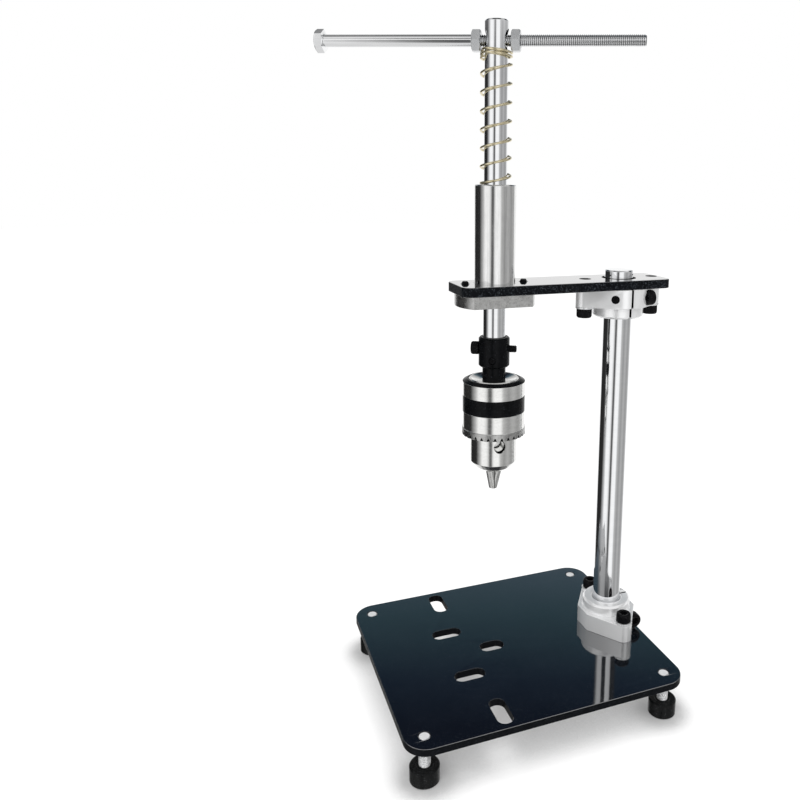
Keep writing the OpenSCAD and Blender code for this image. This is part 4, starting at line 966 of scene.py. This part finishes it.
# Painted shadow: the glow fades where ambient occlusion finds the machine within reach.
open_share = graph.node("AmbientOcclusion", {"Distance": SHADE_REACH}, samples=8)["AO"]
glow = graph.node("Emission", {"Strength": graph.stretch(open_share, *OPEN_RANGE, *GLOW_RANGE)})[0]
seen = graph.node("AddShader", {0: dim, 1: glow})[0]
by_camera = graph.node("MixShader", {0: ray["Is Camera Ray"], 1: matte, 2: seen})[0]
clear = graph.node("BsdfTransparent", {})[0]
by_gloss = graph.node("MixShader", {0: ray["Is Glossy Ray"], 1: by_camera, 2: clear})[0]
graph.node("OutputMaterial", {"Surface": by_gloss})
floor_mesh.materials.append(paint)

# Studio light. Mirrors see bright and dark fields. Up to 8 degrees above the horizon they go by
# compass direction. From 18 degrees on they go by height: in front of the machine white with a
# belt of dark streaks between 26 and 46 degrees, and behind it a nearly black, slightly blue belt,
# which the base plate mirrors. Far below the horizon is plain grey. The camera sees white, and
# everything else is lit by plain soft white.
world = bpy.data.worlds.new("studio")
bpy.context.scene.world = world
graph = Graph(world, clear=True)
direction = graph.node("TexCoord", {})["Generated"]
dx, dy, dz = graph.node("SeparateXYZ", {0: direction})
compass = graph.math("ADD", graph.math("DIVIDE", graph.math("ARCTAN2", dy, dx), 2 * pi), 0.5)
sine = graph.math("MAXIMUM", graph.math("MINIMUM", dz, 1.0), -1.0)
height = graph.math("ADD", graph.math("DIVIDE", graph.math("ARCSINE", sine), pi), 0.5)


def by_compass(*stops):
    """Brightness by compass, from stops of an angle from -180 to 180 and a level."""
    return graph.ramp(compass, [((angle + 180) / 360, level) for angle, level in stops])


def by_height(*stops):
    """Brightness by height, from stops of an angle from -90 to 90 and a level."""
    return graph.ramp(height, [(angle / 180 + 0.5, level) for angle, level in stops])


low = by_compass((-180, 0.5), (-168, 1.0), (-146, 1.0), (-136, 0.7), (-129, 0.11), (-120, 0.11), (-113, 0.8),
                 (-108, 1.0), (-84, 1.0), (-75, 0.50), (-55, 0.33), (-35, 0.46), (-12, 0.33), (8, 0.46),
                 (14, 0.38), (20, 1.0), (101, 1.0), (107, 0.02), (158, 0.025), (180, 0.5))
above = by_height((-90, 1.0), (40, 1.0), (69, 0.5), (90, 0.3))
streaks = by_compass((-180, 0.35), (-172, 0.65), (-140, 0.65), (-133, 0.03), (-104, 0.03), (-98, 0.8),
                     (-64, 0.7), (-54, 0.03), (150, 0.03), (180, 0.35))
streak_share = by_height((-90, 0.0), (26, 0.0), (30, 1.0), (40, 1.0), (46, 0.0), (90, 0.0))
in_front = graph.mix(streak_share, above, streaks)
behind = by_height((-90, 0.55), (23, 0.55), (28, (0.09, 0.135, 0.17)), (31, (0.044, 0.085, 0.105)),
                   (35, (0.013, 0.023, 0.040)), (38, (0.005, 0.007, 0.015)), (44, (0.005, 0.007, 0.015)),
                   (50, 0.5), (62, 0.5), (68, 0.05), (78, 0.05), (90, 0.3))
back_share = by_compass((-180, 0.0), (-10, 0.0), (20, 1.0), (150, 1.0), (180, 0.0))
high = graph.mix(back_share, in_front, behind)
high_share = by_height((-90, 0.0), (8, 0.0), (18, 1.0), (90, 1.0))
under_share = by_height((-90, 1.0), (-52, 1.0), (-36, 0.0), (90, 0.0))
pattern = graph.mix(under_share, graph.mix(high_share, low, high), (0.72, 0.72, 0.72))
ray = graph.node("LightPath", {})
mirrored = graph.math("MAXIMUM", ray["Is Glossy Ray"], ray["Is Transmission Ray"])
colour = graph.mix(mirrored, (0.80, 0.80, 0.80), pattern)
colour = graph.mix(ray["Is Camera Ray"], colour, (1, 1, 1))
shine = graph.node("Background", {"Color": colour})[0]
graph.node("OutputWorld", {"Surface": shine})


def lamp(name, place, aim, size, power):
    """A square area light that mirrors don't see."""
    data = bpy.data.lights.new(name, "AREA")
    data.size, data.energy = size, power
    obj = linked(name, data)
    obj.location = place
    obj.rotation_euler = (Vector(aim) - Vector(place)).to_track_quat("-Z", "Y").to_euler()
    obj.visible_glossy = False


MACHINE_MIDDLE = (0, 0, 0.15)
lamp("key", (-0.9, -1.1, 1.5), MACHINE_MIDDLE, 1.0, 9)
lamp("fill", (1.3, -0.6, 1.0), MACHINE_MIDDLE, 1.2, 3)

# Camera, solved from the photograph's edges: its direction, place, focal length and shift
AZIMUTH, DROP, ROLL = radians(22.715), radians(11.475), 0.014
CAMERA_PLACE = (-0.15785, -0.38198, 0.29090)
SENSOR_W, LENS, SHIFT_X, SHIFT_Y, CLIP_START = 36, 35.556, -0.1463, -0.0848, 0.01
forward = Vector((sin(AZIMUTH) * cos(DROP), cos(AZIMUTH) * cos(DROP), -sin(DROP)))
right = Vector((cos(AZIMUTH), -sin(AZIMUTH), 0))
up = right.cross(forward)
across = cos(ROLL) * right + sin(ROLL) * up
upright = cos(ROLL) * up - sin(ROLL) * right
camera = linked("camera", bpy.data.cameras.new("camera"))
camera.matrix_world = T(*CAMERA_PLACE) @ Matrix((across, upright, -forward)).transposed().to_4x4()
camera.data.sensor_width = SENSOR_W
camera.data.lens = LENS
camera.data.shift_x = SHIFT_X
camera.data.shift_y = SHIFT_Y
camera.data.clip_start = CLIP_START
bpy.context.scene.camera = camera
bpy.context.scene.view_settings.view_transform = "Standard"
